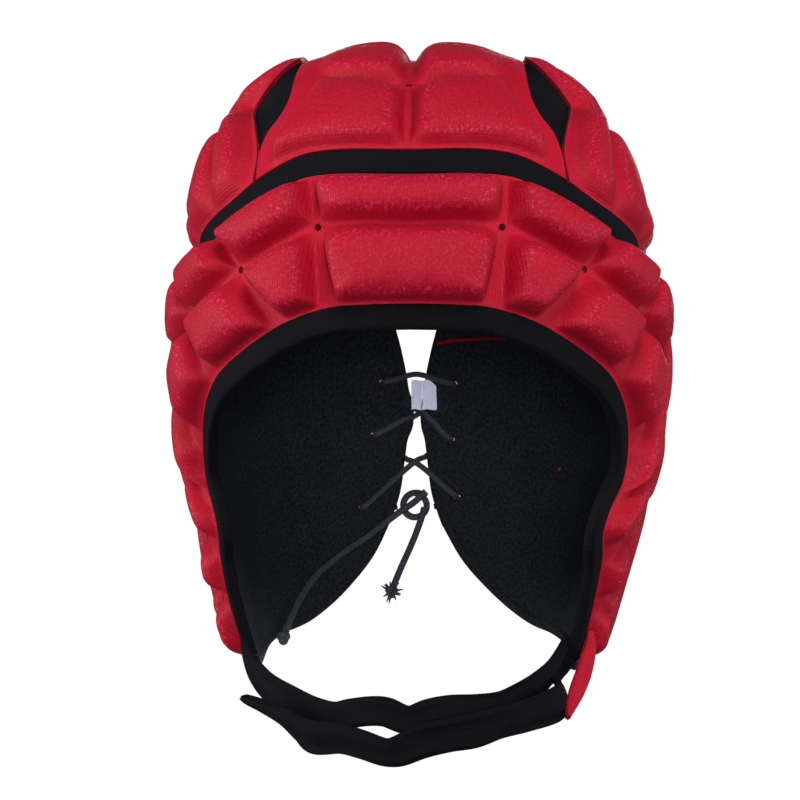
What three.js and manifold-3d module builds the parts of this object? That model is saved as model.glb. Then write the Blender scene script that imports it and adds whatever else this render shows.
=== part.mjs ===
// Soft padded head guard for contact sport: quilted red panels over the brow, crown and
// back of the head, a black band and bindings, a laced rear slit and a lapped chin strap.
// Millimetres, +Z up, the face opening towards -Y. The origin is the inside of the crown.
import * as THREE from "three";
import { mergeVertices } from "three/addons/utils/BufferGeometryUtils.js";
import Module from "manifold-3d";

const manifold = await Module();
manifold.setup();

// The hollow that takes the head, about the centre of its widest level.
const HEAD = { halfWidth: 84.5, front: 97, rear: 101, up: 108, down: 210 };
const ROUNDNESS = { plan: 2.2, above: 2.6, below: 1.6 };

// Heights above the inside face of the lining.
const LINING_TOP = 1.2;
const PANEL_BASE = 1.6;
const SEAM_TOP = 3.4;
const CREST = { brow: 14.5, crown: 11, crownRim: 11, crownUpper: 14, back: 13 };

// Pad shape, as shares of a pad's width.
const SHOULDER_SHARE = 0.18;
const SHOULDER_RISE = 0.8;

const FIT_GAP = 0.4;
const BAND_WIDTH = 9.2;
const BAND_EASE = 0.5;
const FACE_BINDING_WIDTH = 9;
const FACE_BINDING_END = 6.9;
const NAPE_BINDING_WIDTH = 3.4;
const SLIT_TURN = 3;
const SEAM_AZIMUTH = { top: 100, bottom: 93 };
const CORD_DIAMETER = 2.8;
const EYELET_DIAMETER = 4.6;
const VENT_DIAMETER = 2.4;
const STRAP_THICKNESS = 2.2;

// Sideways lean of the worn guard at the crown and at the cheek flaps, by height.
const SWAY = [
  { z: -160, shift: -2.5 },
  { z: -95, shift: -2.5 },
  { z: -65, shift: -1 },
  { z: 40, shift: -0.8 },
  { z: 80, shift: -2.2 },
  { z: 130, shift: -2.2 },
];

// Centre line of the black band, right half: azimuth from the front and elevation.
const BAND_LINE = [
  { azimuth: 0, elevation: 37.3 },
  { azimuth: 24, elevation: 37.1 },
  { azimuth: 36, elevation: 33.7 },
  { azimuth: 49, elevation: 29 },
  { azimuth: 72, elevation: 24.6 },
  { azimuth: 105, elevation: 19 },
  { azimuth: 145, elevation: 13.5 },
  { azimuth: 180, elevation: 11 },
];

// Edge of the face opening, right half, by pad station from the brow to the cheek flap,
// with the share of the panel's width taken by its inner row of pads. The left cheek turns
// further back by the last column.
const FACE_LINE = [
  { station: 0, azimuth: 0, elevation: 8.6, inner: 0.62, left: 0 },
  { station: 0.5, azimuth: 9, elevation: 8.4, inner: 0.62, left: 0 },
  { station: 1, azimuth: 17, elevation: 7.8, inner: 0.61, left: 0 },
  { station: 2, azimuth: 28.2, elevation: 4.4, inner: 0.57, left: 0 },
  { station: 2.5, azimuth: 39, elevation: -0.8, inner: 0.54, left: 0 },
  { station: 3, azimuth: 50.5, elevation: -6.8, inner: 0.52, left: 0.5 },
  { station: 3.5, azimuth: 59.5, elevation: -14.5, inner: 0.5, left: 1.5 },
  { station: 4, azimuth: 65, elevation: -23, inner: 0.5, left: 3 },
  { station: 4.6, azimuth: 65.5, elevation: -31, inner: 0.5, left: 6.5 },
  { station: 5, azimuth: 59.5, elevation: -36, inner: 0.5, left: 9 },
  { station: 5.5, azimuth: 58, elevation: -41, inner: 0.5, left: 9.5 },
  { station: 6, azimuth: 63.5, elevation: -46.5, inner: 0.5, left: 8 },
  { station: 7, azimuth: 74, elevation: -62.4, inner: 0.5, left: 4 },
];

// Outer edge of the brow panel: along the band, then down the side seam.
const BROW_ON_BAND = [
  { station: 0, azimuth: 0 },
  { station: 1, azimuth: 22.7 },
  { station: 2, azimuth: 52 },
  { station: 3, azimuth: 76 },
  { station: 4, azimuth: 99.8 },
];
const SEAM_STATIONS = { first: 4, last: 7 };

// Seam between the top panel and a side panel of the crown: pitch from the front over
// the top, and the sideways roll from the middle.
const CROWN_SEAM = [
  { pitch: 41, roll: 30.5 },
  { pitch: 50, roll: 29.8 },
  { pitch: 54.5, roll: 28.2 },
  { pitch: 57, roll: 25 },
  { pitch: 60, roll: 22.6 },
  { pitch: 66, roll: 20.8 },
  { pitch: 78, roll: 20.6 },
  { pitch: 95, roll: 20.3 },
  { pitch: 125, roll: 20 },
  { pitch: 150, roll: 20.5 },
  { pitch: 166, roll: 21 },
];
const CROWN_SLIT = [
  { azimuth: 39.5, elevation: 36.6 },
  { azimuth: 42, elevation: 41 },
  { azimuth: 46, elevation: 44.5 },
  { azimuth: 51, elevation: 48.8 },
  { azimuth: 57.5, elevation: 52.3 },
  { azimuth: 63.5, elevation: 55.1 },
  { azimuth: 60.5, elevation: 57.3 },
  { azimuth: 56.5, elevation: 59.3 },
  { azimuth: 56.8, elevation: 62.5 },
  { azimuth: 62.5, elevation: 66.4 },
];
const CROWN_ROWS = [0, 0.5, 0.62, 0.717, 0.79, 0.876, 1];
const CROWN_SIDE_COLUMNS = [0, 0.17, 0.4, 0.62, 0.82, 1];
// The pads of the top and side panels meet above their seam, by this share of their height.
const CROWN_SEAM_LIFT = 0.85;
const CROWN_ROW_HOLD = 0.5;

// Free edge of a back panel: up the rear slit, and along the nape to the cheek flap.
// Azimuths are counted with the middle of the slit at 180.
const SLIT_EDGE = [
  { azimuth: 171.4, elevation: -37.5 },
  { azimuth: 173.9, elevation: -32 },
  { azimuth: 175.2, elevation: -25 },
  { azimuth: 176.3, elevation: -16 },
  { azimuth: 176.3, elevation: -9 },
  { azimuth: 175, elevation: -1 },
  { azimuth: 172.6, elevation: 8.2 },
];
const NAPE_EDGE = [
  { azimuth: 93, elevation: -63 },
  { azimuth: 115, elevation: -60 },
  { azimuth: 129, elevation: -57.6 },
  { azimuth: 143, elevation: -55 },
  { azimuth: 157, elevation: -49.8 },
  { azimuth: 166, elevation: -44 },
  { azimuth: 171.4, elevation: -37.5 },
];
const BACK_COLUMNS = [0, 0.3, 0.59, 0.85];
const BACK_ROWS = [0, 0.44, 0.72, 1];

// Eyelets beside the rear slit, from the top: degrees from the slit's middle. Below each, the
// lace goes back through the slit at a share of the way down and a turn from the middle.
const EYELETS = [
  { turn: 8.5, elevation: -6.3, share: 0.62, wall: -0.3 },
  { turn: 8.9, elevation: -20, share: 0.35, wall: 1.4 },
  { turn: 12.4, elevation: -35, share: 0, wall: 0 },
];

// Chin straps: middle line, width, and how far the upper edge leans back.
const LOOP_STRAP = [
  { x: -61.6, y: -27.5, z: -120.8, width: 9, lean: 6 },
  { x: -57.6, y: -35, z: -125, width: 10, lean: 8 },
  { x: -53.2, y: -43, z: -128, width: 10.5, lean: 8 },
  { x: -44.6, y: -54, z: -131.6, width: 11, lean: 8 },
  { x: -35, y: -63, z: -135, width: 11, lean: 8 },
  { x: -26.8, y: -68.5, z: -136.2, width: 11, lean: 8 },
  { x: -21.1, y: -71, z: -134.8, width: 11, lean: 8 },
  { x: -12.5, y: -73.5, z: -133.6, width: 11, lean: 8 },
  { x: -7.7, y: -74.3, z: -133.9, width: 11, lean: 8 },
  { x: 0.4, y: -75, z: -136.7, width: 10.5, lean: 8 },
  { x: 8.1, y: -74, z: -134.2, width: 10.5, lean: 8 },
  { x: 15.7, y: -72.5, z: -133.2, width: 11, lean: 8 },
  { x: 24.8, y: -69, z: -133.2, width: 11, lean: 8 },
  { x: 34, y: -63.5, z: -132.6, width: 11, lean: 8 },
  { x: 41.2, y: -56, z: -129.8, width: 10.5, lean: 8 },
  { x: 47.4, y: -48.2, z: -126.3, width: 9.5, lean: 8 },
  { x: 50.6, y: -43.4, z: -123.6, width: 8.4, lean: 6 },
];
const HOOK_STRAP = [
  { x: 57.4, y: -30.5, z: -122.2, width: 6.2, lean: 4 },
  { x: 55.2, y: -36.5, z: -125, width: 7, lean: 3 },
  { x: 55.4, y: -46, z: -129.4, width: 10.5, lean: 1 },
  { x: 52.8, y: -54.5, z: -132, width: 13.5, lean: 0 },
  { x: 43.9, y: -63.5, z: -136, width: 12.5, lean: -4 },
  { x: 34, y: -70, z: -138, width: 12.5, lean: -8 },
  { x: 24.9, y: -74.5, z: -140.5, width: 13.5, lean: -8 },
  { x: 15.4, y: -78, z: -141.9, width: 13, lean: -8 },
  { x: 5.3, y: -81, z: -144, width: 13, lean: -8 },
  { x: -3, y: -82.5, z: -147.3, width: 11.7, lean: -8 },
  { x: -7.4, y: -82.5, z: -147.7, width: 10.5, lean: -8 },
  { x: -15.8, y: -81.5, z: -145.1, width: 10.6, lean: -8 },
  { x: -23.6, y: -79.5, z: -143.2, width: 11, lean: -8 },
  { x: -34.2, y: -75.5, z: -143.1, width: 12.3, lean: -8 },
  { x: -39.2, y: -72, z: -140.6, width: 9.3, lean: -6 },
  { x: -45.8, y: -67, z: -136.7, width: 7, lean: -4 },
  { x: -54.1, y: -61, z: -133.3, width: 5.6, lean: -2 },
  { x: -62.5, y: -55.5, z: -130.7, width: 4, lean: 0 },
];
const CHIN_TAB = [
  { x: 66.9, y: -28, z: -118, width: 6.3, lean: 0 },
  { x: 65.3, y: -34, z: -122.9, width: 7, lean: 0 },
  { x: 62.7, y: -42, z: -128.6, width: 6.5, lean: 0 },
  { x: 60.5, y: -49, z: -133.5, width: 4.4, lean: 0 },
  { x: 59.1, y: -54.5, z: -137.8, width: 1.6, lean: 0 },
];
const CHIN_TAB_FACING = { x: 0.4, y: -0.92, z: 0 };

// Free ends of the lace, from the knot.
const LONG_START = [
  { x: -0.4, y: 87.2, z: -57.8 },
  { x: -5.4, y: 87.5, z: -62.4 },
  { x: -12.4, y: 86.4, z: -67.2 },
];
const LONG_END = [
  { azimuth: -163.4, elevation: -41.5 },
  { azimuth: -156, elevation: -44.6 },
  { azimuth: -147, elevation: -48.6 },
  { azimuth: -138.5, elevation: -52.8 },
  { azimuth: -130.5, elevation: -56.6 },
  { azimuth: -122.6, elevation: -59.6 },
];
const SHORT_END = [
  { x: -1, y: 87.4, z: -64.6 },
  { x: -2.4, y: 86.2, z: -70 },
  { x: -5.4, y: 83.4, z: -79.5 },
  { x: -9.4, y: 80.4, z: -90 },
  { x: -12, y: 78.8, z: -97 },
];

const radians = THREE.MathUtils.degToRad;
const lerp = THREE.MathUtils.lerp;

// Smooth value of one column of a table at a place along another column.
function valueAt(table, along, column, place) {
  let i = 0;
  while (i < table.length - 2 && place > table[i + 1][along]) i += 1;
  const rows = [i - 1, i, i + 1, i + 2].map((k) => table[Math.min(Math.max(k, 0), table.length - 1)]);
  const [before, left, right, after] = rows;
  const span = right[along] - left[along];
  const slope = (a, b) => (b === a ? 0 : (b[column] - a[column]) / (b[along] - a[along]));
  const t = (place - left[along]) / span;
  const leftSlope = slope(before, right) * span;
  const rightSlope = slope(left, after) * span;
  const a = 2 * (left[column] - right[column]) + leftSlope + rightSlope;
  const b = 3 * (right[column] - left[column]) - 2 * leftSlope - rightSlope;
  return ((a * t + b) * t + leftSlope) * t + left[column];
}

function aim(azimuth, elevation) {
  const [a, e] = [radians(azimuth), radians(elevation)];
  return new THREE.Vector3(Math.cos(e) * Math.sin(a), -Math.cos(e) * Math.cos(a), Math.sin(e));
}

function aimOver(pitch, roll) {
  const [p, r] = [radians(pitch), radians(roll)];
  return new THREE.Vector3(Math.sin(r), -Math.cos(r) * Math.cos(p), Math.cos(r) * Math.sin(p));
}

// Level of the head form: 1 on the inside face of the lining, growing outwards.
function headLevel(p) {
  const length = p.y < 0 ? HEAD.front : HEAD.rear;
  const height = p.z > 0 ? HEAD.up : HEAD.down;
  const power = p.z > 0 ? ROUNDNESS.above : ROUNDNESS.below;
  const across = Math.abs(p.x / HEAD.halfWidth) ** ROUNDNESS.plan;
  const along = Math.abs(p.y / length) ** ROUNDNESS.plan;
  const ring = (across + along) ** (power / ROUNDNESS.plan);
  return (ring + Math.abs(p.z / height) ** power) ** (1 / power);
}

function headNormal(p) {
  const step = 0.5;
  const rise = (axis) => {
    const ahead = p.clone();
    const behind = p.clone();
    ahead[axis] += step;
    behind[axis] -= step;
    return headLevel(ahead) - headLevel(behind);
  };
  return new THREE.Vector3(rise("x"), rise("y"), rise("z")).normalize();
}

function onHead(direction, height = 0) {
  const p = direction.clone().divideScalar(headLevel(direction));
  return p.addScaledVector(headNormal(p), height);
}

function azimuthOf(direction) {
  return THREE.MathUtils.radToDeg(Math.atan2(direction.x, -direction.y));
}

function mirrored(direction, side) {
  return new THREE.Vector3(direction.x * side, direction.y, direction.z);
}

// A direction stepped sideways over the head from a line of directions.
function stepAside(line, place, reach, distance) {
  const p = onHead(line(place));
  const along = onHead(line(place + reach)).sub(onHead(line(place - reach))).normalize();
  return p.addScaledVector(along.cross(headNormal(p)).normalize(), distance).normalize();
}

const bandLine = (azimuth) => {
  const turn = Math.abs(((azimuth + 540) % 360) - 180);
  return aim(azimuth, valueAt(BAND_LINE, "azimuth", "elevation", turn));
};
const bandEdge = (azimuth, up) => stepAside(bandLine, azimuth, 0.5, -up * (BAND_WIDTH / 2 + FIT_GAP));
const faceLine = (station) => {
  const place = Math.abs(station);
  const azimuth = valueAt(FACE_LINE, "station", "azimuth", place);
  const turn = station < 0 ? -azimuth - valueAt(FACE_LINE, "station", "left", place) : azimuth;
  return aim(turn, valueAt(FACE_LINE, "station", "elevation", place));
};

// A smooth run of directions through a table of azimuths and elevations.
function runThrough(table, toDirection) {
  const curve = new THREE.CatmullRomCurve3(table.map(toDirection), false, "centripetal");
  return (t) => curve.getPoint(Math.min(Math.max(t, 0), 1)).normalize();
}

// Side seam between the brow panel and a back panel, from the band down to the nape.
const seamTop = bandEdge(SEAM_AZIMUTH.top, -1);
const seamElevation = THREE.MathUtils.radToDeg(Math.asin(seamTop.z));
const seamAzimuth = azimuthOf(seamTop);
function sideSeam(drop) {
  const azimuth = lerp(seamAzimuth, SEAM_AZIMUTH.bottom, drop);
  return aim(azimuth, lerp(seamElevation, NAPE_EDGE[0].elevation, drop));
}

function browOuter(station) {
  const { first, last } = SEAM_STATIONS;
  if (station <= first) return bandEdge(valueAt(BROW_ON_BAND, "station", "azimuth", station), -1);
  return stepAside(sideSeam, (station - first) / (last - first), 0.01, FIT_GAP / 2);
}

// Rows run from the face edge (0) over the groove between the pad rows (1) to the outside (2).
function browSurface(column, row) {
  const station = Math.abs(column);
  const share = valueAt(FACE_LINE, "station", "inner", station);
  const across = row <= 1 ? row * share : share + (row - 1) * (1 - share);
  return faceLine(column).lerp(mirrored(browOuter(station), column < 0 ? -1 : 1), across);
}

// A four-sided patch blended between its edges.
function patchBetween({ bottom, top, left, right }) {
  return (u, v) => {
    const p = bottom(u).multiplyScalar(1 - v).addScaledVector(top(u), v);
    p.addScaledVector(left(v), 1 - u).addScaledVector(right(v), u);
    p.addScaledVector(bottom(0), -(1 - u) * (1 - v)).addScaledVector(bottom(1), -u * (1 - v));
    return p.addScaledVector(top(0), -(1 - u) * v).addScaledVector(top(1), -u * v);
  };
}

const CROWN_FRONT_TURN = 38.6;
const CROWN_REAR_TURN = 21;
const CROWN_FRONT_SET = 1.08;
const CROWN_FRONT_TIP = 9;
const crownSeamRun = runThrough(CROWN_SEAM, (row) => aimOver(row.pitch, row.roll));
const crownSeam = (t, side, shift) =>
  mirrored(stepAside(crownSeamRun, lerp(0.004, 0.996, t), 0.004, shift), side);
const crownCentrePatch = patchBetween({
  left: (v) => crownEdge(v, -1),
  right: (v) => crownEdge(v, 1),
  bottom: (u) => bandEdge(lerp(-CROWN_FRONT_TURN, CROWN_FRONT_TURN, u), CROWN_FRONT_SET),
  top: (u) => bandEdge(lerp(180 + CROWN_REAR_TURN, 180 - CROWN_REAR_TURN, u), 1),
});
// The front rows of the top panel are drawn towards the brow along its middle.
function crownCentreSurface(u, v) {
  const drawn = Math.sin(Math.PI * Math.min(v / 0.8, 1)) ** 2;
  const tip = radians(CROWN_FRONT_TIP * 4 * u * (1 - u) * drawn);
  return crownCentrePatch(u, v).applyAxisAngle(new THREE.Vector3(1, 0, 0), tip);
}

// Share by which the pads stay up along the seam of the top panel with the side panels.
function crownLift(direction) {
  const pitch = THREE.MathUtils.radToDeg(Math.atan2(direction.z, -direction.y));
  const roll = THREE.MathUtils.radToDeg(Math.asin(Math.abs(direction.x)));
  const seam = valueAt(CROWN_SEAM, "pitch", "roll", Math.min(Math.max(pitch, 41), 166));
  const front = THREE.MathUtils.smoothstep(pitch, 54, 68);
  const rear = Math.min(Math.max((150 - pitch) / 30, 0), 1);
  return CROWN_SEAM_LIFT * front * rear * Math.exp(-(((roll - seam) / 10) ** 2));
}

// The top panel's side edge meets the band exactly at both ends.
function crownEdge(v, side) {
  const front = bandEdge(CROWN_FRONT_TURN, CROWN_FRONT_SET).sub(crownSeam(0, 1, -FIT_GAP / 2));
  const rear = bandEdge(180 - CROWN_REAR_TURN, 1).sub(crownSeam(1, 1, -FIT_GAP / 2));
  const p = crownSeam(v, 1, -FIT_GAP / 2);
  p.addScaledVector(front, Math.max(0, 1 - 5 * v)).addScaledVector(rear, Math.max(0, 5 * v - 4));
  return mirrored(p, side);
}

const CROWN_SLIT_TOP = 0.6;
const SIDE_REAR_TURN = { start: 136, end: 158 };
const crownSlitRun = runThrough(CROWN_SLIT, (row) => aim(row.azimuth, row.elevation));
function crownSideSurface(side) {
  const startTurn = azimuthOf(crownSlitRun(0));
  const bottom = (u) => bandEdge(lerp(startTurn, SIDE_REAR_TURN.start, u), 1);
  const right = (v) => bandEdge(lerp(SIDE_REAR_TURN.start, SIDE_REAR_TURN.end, v), 1);
  const seam = (u) => crownSeam(lerp(CROWN_SLIT_TOP, 0.985, u), 1, 2 * FIT_GAP);
  const seamEnd = right(1).sub(seam(1));
  const top = (u) => seam(u).addScaledVector(seamEnd, Math.max(0, 5 * u - 4));
  const slitFoot = bottom(0).sub(crownSlitRun(0));
  const slitHead = top(0).sub(crownSlitRun(1));
  const left = (v) =>
    crownSlitRun(v).addScaledVector(slitFoot, Math.max(0, 1 - 4 * v)).addScaledVector(slitHead, Math.max(0, 4 * v - 3));
  const patch = patchBetween({ bottom, top, left, right });
  return (u, v) => mirrored(patch(u, v), side);
}

const slitRun = runThrough(SLIT_EDGE, (row) => aim(row.azimuth, row.elevation));
const napeRun = runThrough(NAPE_EDGE, (row) => aim(row.azimuth, row.elevation));
const turnAbout = (direction, angle) => direction.applyAxisAngle(new THREE.Vector3(0, 0, 1), radians(angle));
// The slit lies to one side of the middle, so the back panels are turned towards it.
function towardsSlit(direction, side, share) {
  return turnAbout(mirrored(direction, side), SLIT_TURN * share);
}

function backSurface(side) {
  const topTurn = azimuthOf(slitRun(1));
  const seamAside = (v) => stepAside(sideSeam, 1 - v, 0.01, -FIT_GAP / 2);
  const top = (u) => bandEdge(lerp(SEAM_AZIMUTH.top + FIT_GAP, topTurn, u), -1);
  const slitHead = top(1).sub(slitRun(1));
  const right = (v) => slitRun(v).addScaledVector(slitHead, Math.max(0, 4 * v - 3));
  const napeFoot = seamAside(0).sub(napeRun(0));
  const bottom = (u) => napeRun(u).addScaledVector(napeFoot, Math.max(0, 1 - 8 * u));
  const left = (v) => seamAside(v).addScaledVector(top(0).sub(seamAside(1)), v);
  const patch = patchBetween({ bottom, top, left, right });
  return (u, v) => towardsSlit(patch(u, v), side, u * u);
}

// Closed solids from rings of points.
function solidFrom(points, faces) {
  const geometry = new THREE.BufferGeometry();
  geometry.setAttribute("position", new THREE.Float32BufferAttribute(points.flatMap((p) => [p.x, p.y, p.z]), 3));
  geometry.setIndex(faces.flat());
  return geometry;
}

// Joins two runs of points along an edge with a strip of triangles.
function joinRuns(outer, inner, faces, flip) {
  const add = (a, b, c) => faces.push(flip ? [a, c, b] : [a, b, c]);
  let [i, j] = [0, 0];
  while (i < outer.length - 1 || j < inner.length - 1) {
    const outerNext = (i + 1) / (outer.length - 1);
    const innerNext = (j + 1) / (inner.length - 1);
    if (j === inner.length - 1 || (i < outer.length - 1 && outerNext <= innerNext)) {
      add(outer[i], outer[i + 1], inner[j]);
      i += 1;
    } else {
      add(outer[i], inner[j + 1], inner[j]);
      j += 1;
    }
  }
}

// A shell over a surface between an outer sheet and an inner sheet, each on its own lines.
function shellBetween(surface, outerSheet, innerSheet, flip) {
  const points = [];
  const faces = [];
  const layDown = ({ columns, rows, height }, up) => {
    const index = columns.map((u) =>
      rows.map((v) => points.push(onHead(surface(u, v).normalize(), height(u, v))) - 1));
    for (let i = 0; i < columns.length - 1; i += 1) {
      for (let j = 0; j < rows.length - 1; j += 1) {
        const [a, b, c, d] = [index[i][j], index[i + 1][j], index[i + 1][j + 1], index[i][j + 1]];
        faces.push(up !== flip ? [a, b, c] : [a, c, b], up !== flip ? [a, c, d] : [a, d, c]);
      }
    }
    return index;
  };
  const outer = layDown(outerSheet, true);
  const inner = layDown(innerSheet, false);
  const first = (grid) => grid.map((column) => column[0]);
  const last = (grid) => grid.map((column) => column[column.length - 1]);
  joinRuns(first(outer), first(inner), faces, !flip);
  joinRuns(last(outer), last(inner), faces, flip);
  joinRuns(outer[0], inner[0], faces, flip);
  joinRuns(outer[outer.length - 1], inner[inner.length - 1], faces, !flip);
  return solidFrom(points, faces);
}

// Lines that shape the pads between stations: groove, shoulder, crest, shoulder, groove.
function padLines(stations, margin) {
  const lines = [stations[0]];
  for (let k = 0; k < stations.length - 1; k += 1) {
    for (const share of [SHOULDER_SHARE, 0.5, 1 - SHOULDER_SHARE, 1]) {
      lines.push(lerp(stations[k], stations[k + 1], share));
    }
  }
  if (margin) lines.push(margin);
  return lines;
}

function plainLines(stations, margin) {
  const lines = [stations[0]];
  for (let k = 0; k < stations.length - 1; k += 1) {
    lines.push((stations[k] + stations[k + 1]) / 2, stations[k + 1]);
  }
  if (margin) lines.push(margin);
  return lines;
}

// Rise of a pad at a place between stations, from 0 in the groove to 1 on the crest.
function padRise(stations, place) {
  const k = stations.findIndex((s, i) => i < stations.length - 1 && place >= s && place <= stations[i + 1]);
  if (k < 0) return 0;
  const share = (place - stations[k]) / (stations[k + 1] - stations[k]);
  const inset = Math.min(share, 1 - share);
  if (inset <= SHOULDER_SHARE) return (SHOULDER_RISE * inset) / SHOULDER_SHARE;
  return lerp(SHOULDER_RISE, 1, (inset - SHOULDER_SHARE) / (0.5 - SHOULDER_SHARE));
}

function quiltedPanel({ surface, columns, rows, crest, margin, flip, inset = 0, lift, hold = 0 }) {
  const held = (v, rise) => (Math.abs(v - 0.5) < 0.25 ? hold + (1 - hold) * rise : rise);
  const height = (u, v) => {
    const rise = padRise(columns, u) * held(v, padRise(rows, v));
    const lifted = lift ? lift(surface(u, v).normalize()) : 0;
    return SEAM_TOP + (crest(u, v) - SEAM_TOP) * (rise + (1 - rise) * lifted);
  };
  const outer = { columns: padLines(columns, margin), rows: padLines(rows), height };
  const under = [rows[0] + inset, ...rows.slice(1)];
  const inner = { columns: plainLines(columns, margin), rows: plainLines(under), height: () => PANEL_BASE };
  return shellBetween(surface, outer, inner, flip);
}

function liningFor({ surface, columns, rows, margin, flip, inset = 0 }) {
  const under = [rows[0] + inset, ...rows.slice(1)];
  const lines = { columns: plainLines(columns, margin), rows: plainLines(under) };
  return shellBetween(surface, { ...lines, height: () => LINING_TOP }, { ...lines, height: () => 0 }, flip);
}

// A band swept along frames, its section given across the frame and outwards.
function sweptBand(frames, section, closed) {
  const points = [];
  const faces = [];
  for (const { at, across, out, scale } of frames) {
    for (const [a, o] of section) {
      points.push(at.clone().addScaledVector(across, a * (scale ?? 1)).addScaledVector(out, o));
    }
  }
  const n = section.length;
  const last = closed ? frames.length : frames.length - 1;
  for (let i = 0; i < last; i += 1) {
    for (let k = 0; k < n; k += 1) {
      const [a, b] = [i * n + k, i * n + ((k + 1) % n)];
      const shift = ((i + 1) % frames.length) * n;
      const [c, d] = [shift + ((k + 1) % n), shift + k];
      faces.push([a, c, b], [a, d, c]);
    }
  }
  if (!closed) {
    for (let k = 1; k < n - 1; k += 1) {
      const end = (frames.length - 1) * n;
      faces.push([0, k, k + 1], [end, end + k + 1, end + k]);
    }
  }
  return solidFrom(points, faces);
}

// Frames on the head form along a line of directions.
function headFrames(line, places, reach) {
  return places.map((place) => {
    const at = onHead(line(place));
    const out = headNormal(at);
    const along = onHead(line(place + reach)).sub(onHead(line(place - reach))).normalize();
    return { at, out, across: along.cross(out).normalize() };
  });
}

const spread = (count, from, to) => Array.from({ length: count + 1 }, (_, i) => lerp(from, to, i / count));

// Section of a flat band with softened edges.
function bandSection(inside, outside, bottom, top, soft) {
  return [
    [inside, bottom],
    [outside - soft, bottom],
    [outside, lerp(bottom, top, 0.3)],
    [outside, lerp(bottom, top, 0.7)],
    [outside - soft, top],
    [inside, top],
  ];
}

function strapFrames(table, steps, facing) {
  const curve = new THREE.CatmullRomCurve3(table.map((row) => new THREE.Vector3(row.x, row.y, row.z)));
  const rows = table.map((row, i) => ({ ...row, place: i / (table.length - 1) }));
  return spread(steps, 0, 1).map((t) => {
    const at = curve.getPoint(t);
    const along = curve.getTangent(t);
    const lean = radians(valueAt(rows, "place", "lean", t));
    const radial = facing ? new THREE.Vector3(facing.x, facing.y, facing.z) : new THREE.Vector3(at.x, at.y, 0);
    const away = radial.normalize().multiplyScalar(Math.cos(lean));
    away.z = Math.sin(lean);
    const across = along.clone().cross(away).normalize();
    const out = across.clone().cross(along).normalize();
    return { at, across, out, scale: valueAt(rows, "place", "width", t) };
  });
}

function strap(table, steps, facing) {
  const half = STRAP_THICKNESS / 2;
  const section = [[-0.5, -0.4 * half], [-0.42, -half], [0.42, -half], [0.5, -0.4 * half]];
  const upper = section.map(([a, o]) => [-a, -o]);
  return sweptBand(strapFrames(table, steps, facing), [...section, ...upper], false);
}

function roundCord(points, steps, diameter = CORD_DIAMETER) {
  const sides = Array.from({ length: 8 }, (_, k) => (k * Math.PI) / 4);
  const section = new THREE.Shape(
    sides.map((a) => new THREE.Vector2(Math.cos(a), Math.sin(a)).multiplyScalar(diameter / 2)));
  const extrudePath = new THREE.CatmullRomCurve3(points, false, "centripetal");
  return new THREE.ExtrudeGeometry(section, { steps, extrudePath, bevelEnabled: false });
}

// Cuts round holes through a solid, square to the head form.
function pierced(geometry, holes) {
  const bore = ({ direction, diameter }) => {
    const sides = diameter < 3 ? 6 : 8;
    const pin = new THREE.CylinderGeometry(diameter / 2, diameter / 2, 40, sides);
    const at = onHead(direction);
    pin.applyQuaternion(new THREE.Quaternion().setFromUnitVectors(new THREE.Vector3(0, 1, 0), headNormal(at)));
    return toManifold(pin.translate(at.x, at.y, at.z));
  };
  return fromManifold(holes.reduce((body, hole) => body.subtract(bore(hole)), toManifold(geometry)));
}

function toManifold(geometry) {
  const bare = geometry.clone();
  bare.deleteAttribute("normal");
  bare.deleteAttribute("uv");
  const merged = mergeVertices(bare, 1e-4);
  const mesh = new manifold.Mesh({
    numProp: 3,
    vertProperties: Float32Array.from(merged.attributes.position.array),
    triVerts: Uint32Array.from(merged.index.array),
  });
  return new manifold.Manifold(mesh);
}

function fromManifold(body) {
  const mesh = body.getMesh();
  const geometry = new THREE.BufferGeometry();
  geometry.setAttribute("position", new THREE.Float32BufferAttribute(mesh.vertProperties, 3));
  geometry.setIndex(Array.from(mesh.triVerts));
  return geometry;
}

const RED_MESH = { color: 0xb3122c, roughness: 0.75 };
const BLACK_KNIT = { color: 0x16181d, roughness: 0.9 };
const BLACK_LINING = { color: 0x1c1c1e, roughness: 0.95 };
const BLACK_CORD = { color: 0x14161c, roughness: 0.7 };
const WHITE_TAG = { color: 0xe9e9e6, roughness: 0.6 };

const guard = new THREE.Group();
guard.position.z = -HEAD.up;
function add(name, geometry, finish) {
  const spots = geometry.attributes.position;
  for (let i = 0; i < spots.count; i += 1) {
    spots.setX(i, spots.getX(i) + valueAt(SWAY, "z", "shift", spots.getZ(i)));
  }
  const mesh = new THREE.Mesh(geometry, new THREE.MeshStandardMaterial(finish));
  mesh.name = name;
  guard.add(mesh);
}

// Brow panel: two rows of pads from cheek to cheek.
const browColumns = [-7, -6, -5, -4, -3, -2, -1, 1, 2, 3, 4, 5, 6, 7];
const brow = {
  surface: browSurface,
  columns: browColumns,
  rows: [0, 1, 2],
  crest: () => CREST.brow,
  inset: 0.05,
  flip: false,
};
const browVents = [-2, -1, 1, 2].map((column) => ({ direction: browSurface(column, 1), diameter: VENT_DIAMETER }));
add("brow_panel", pierced(quiltedPanel(brow), browVents), RED_MESH);
add("brow_lining", pierced(liningFor(brow), browVents), BLACK_LINING);

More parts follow.
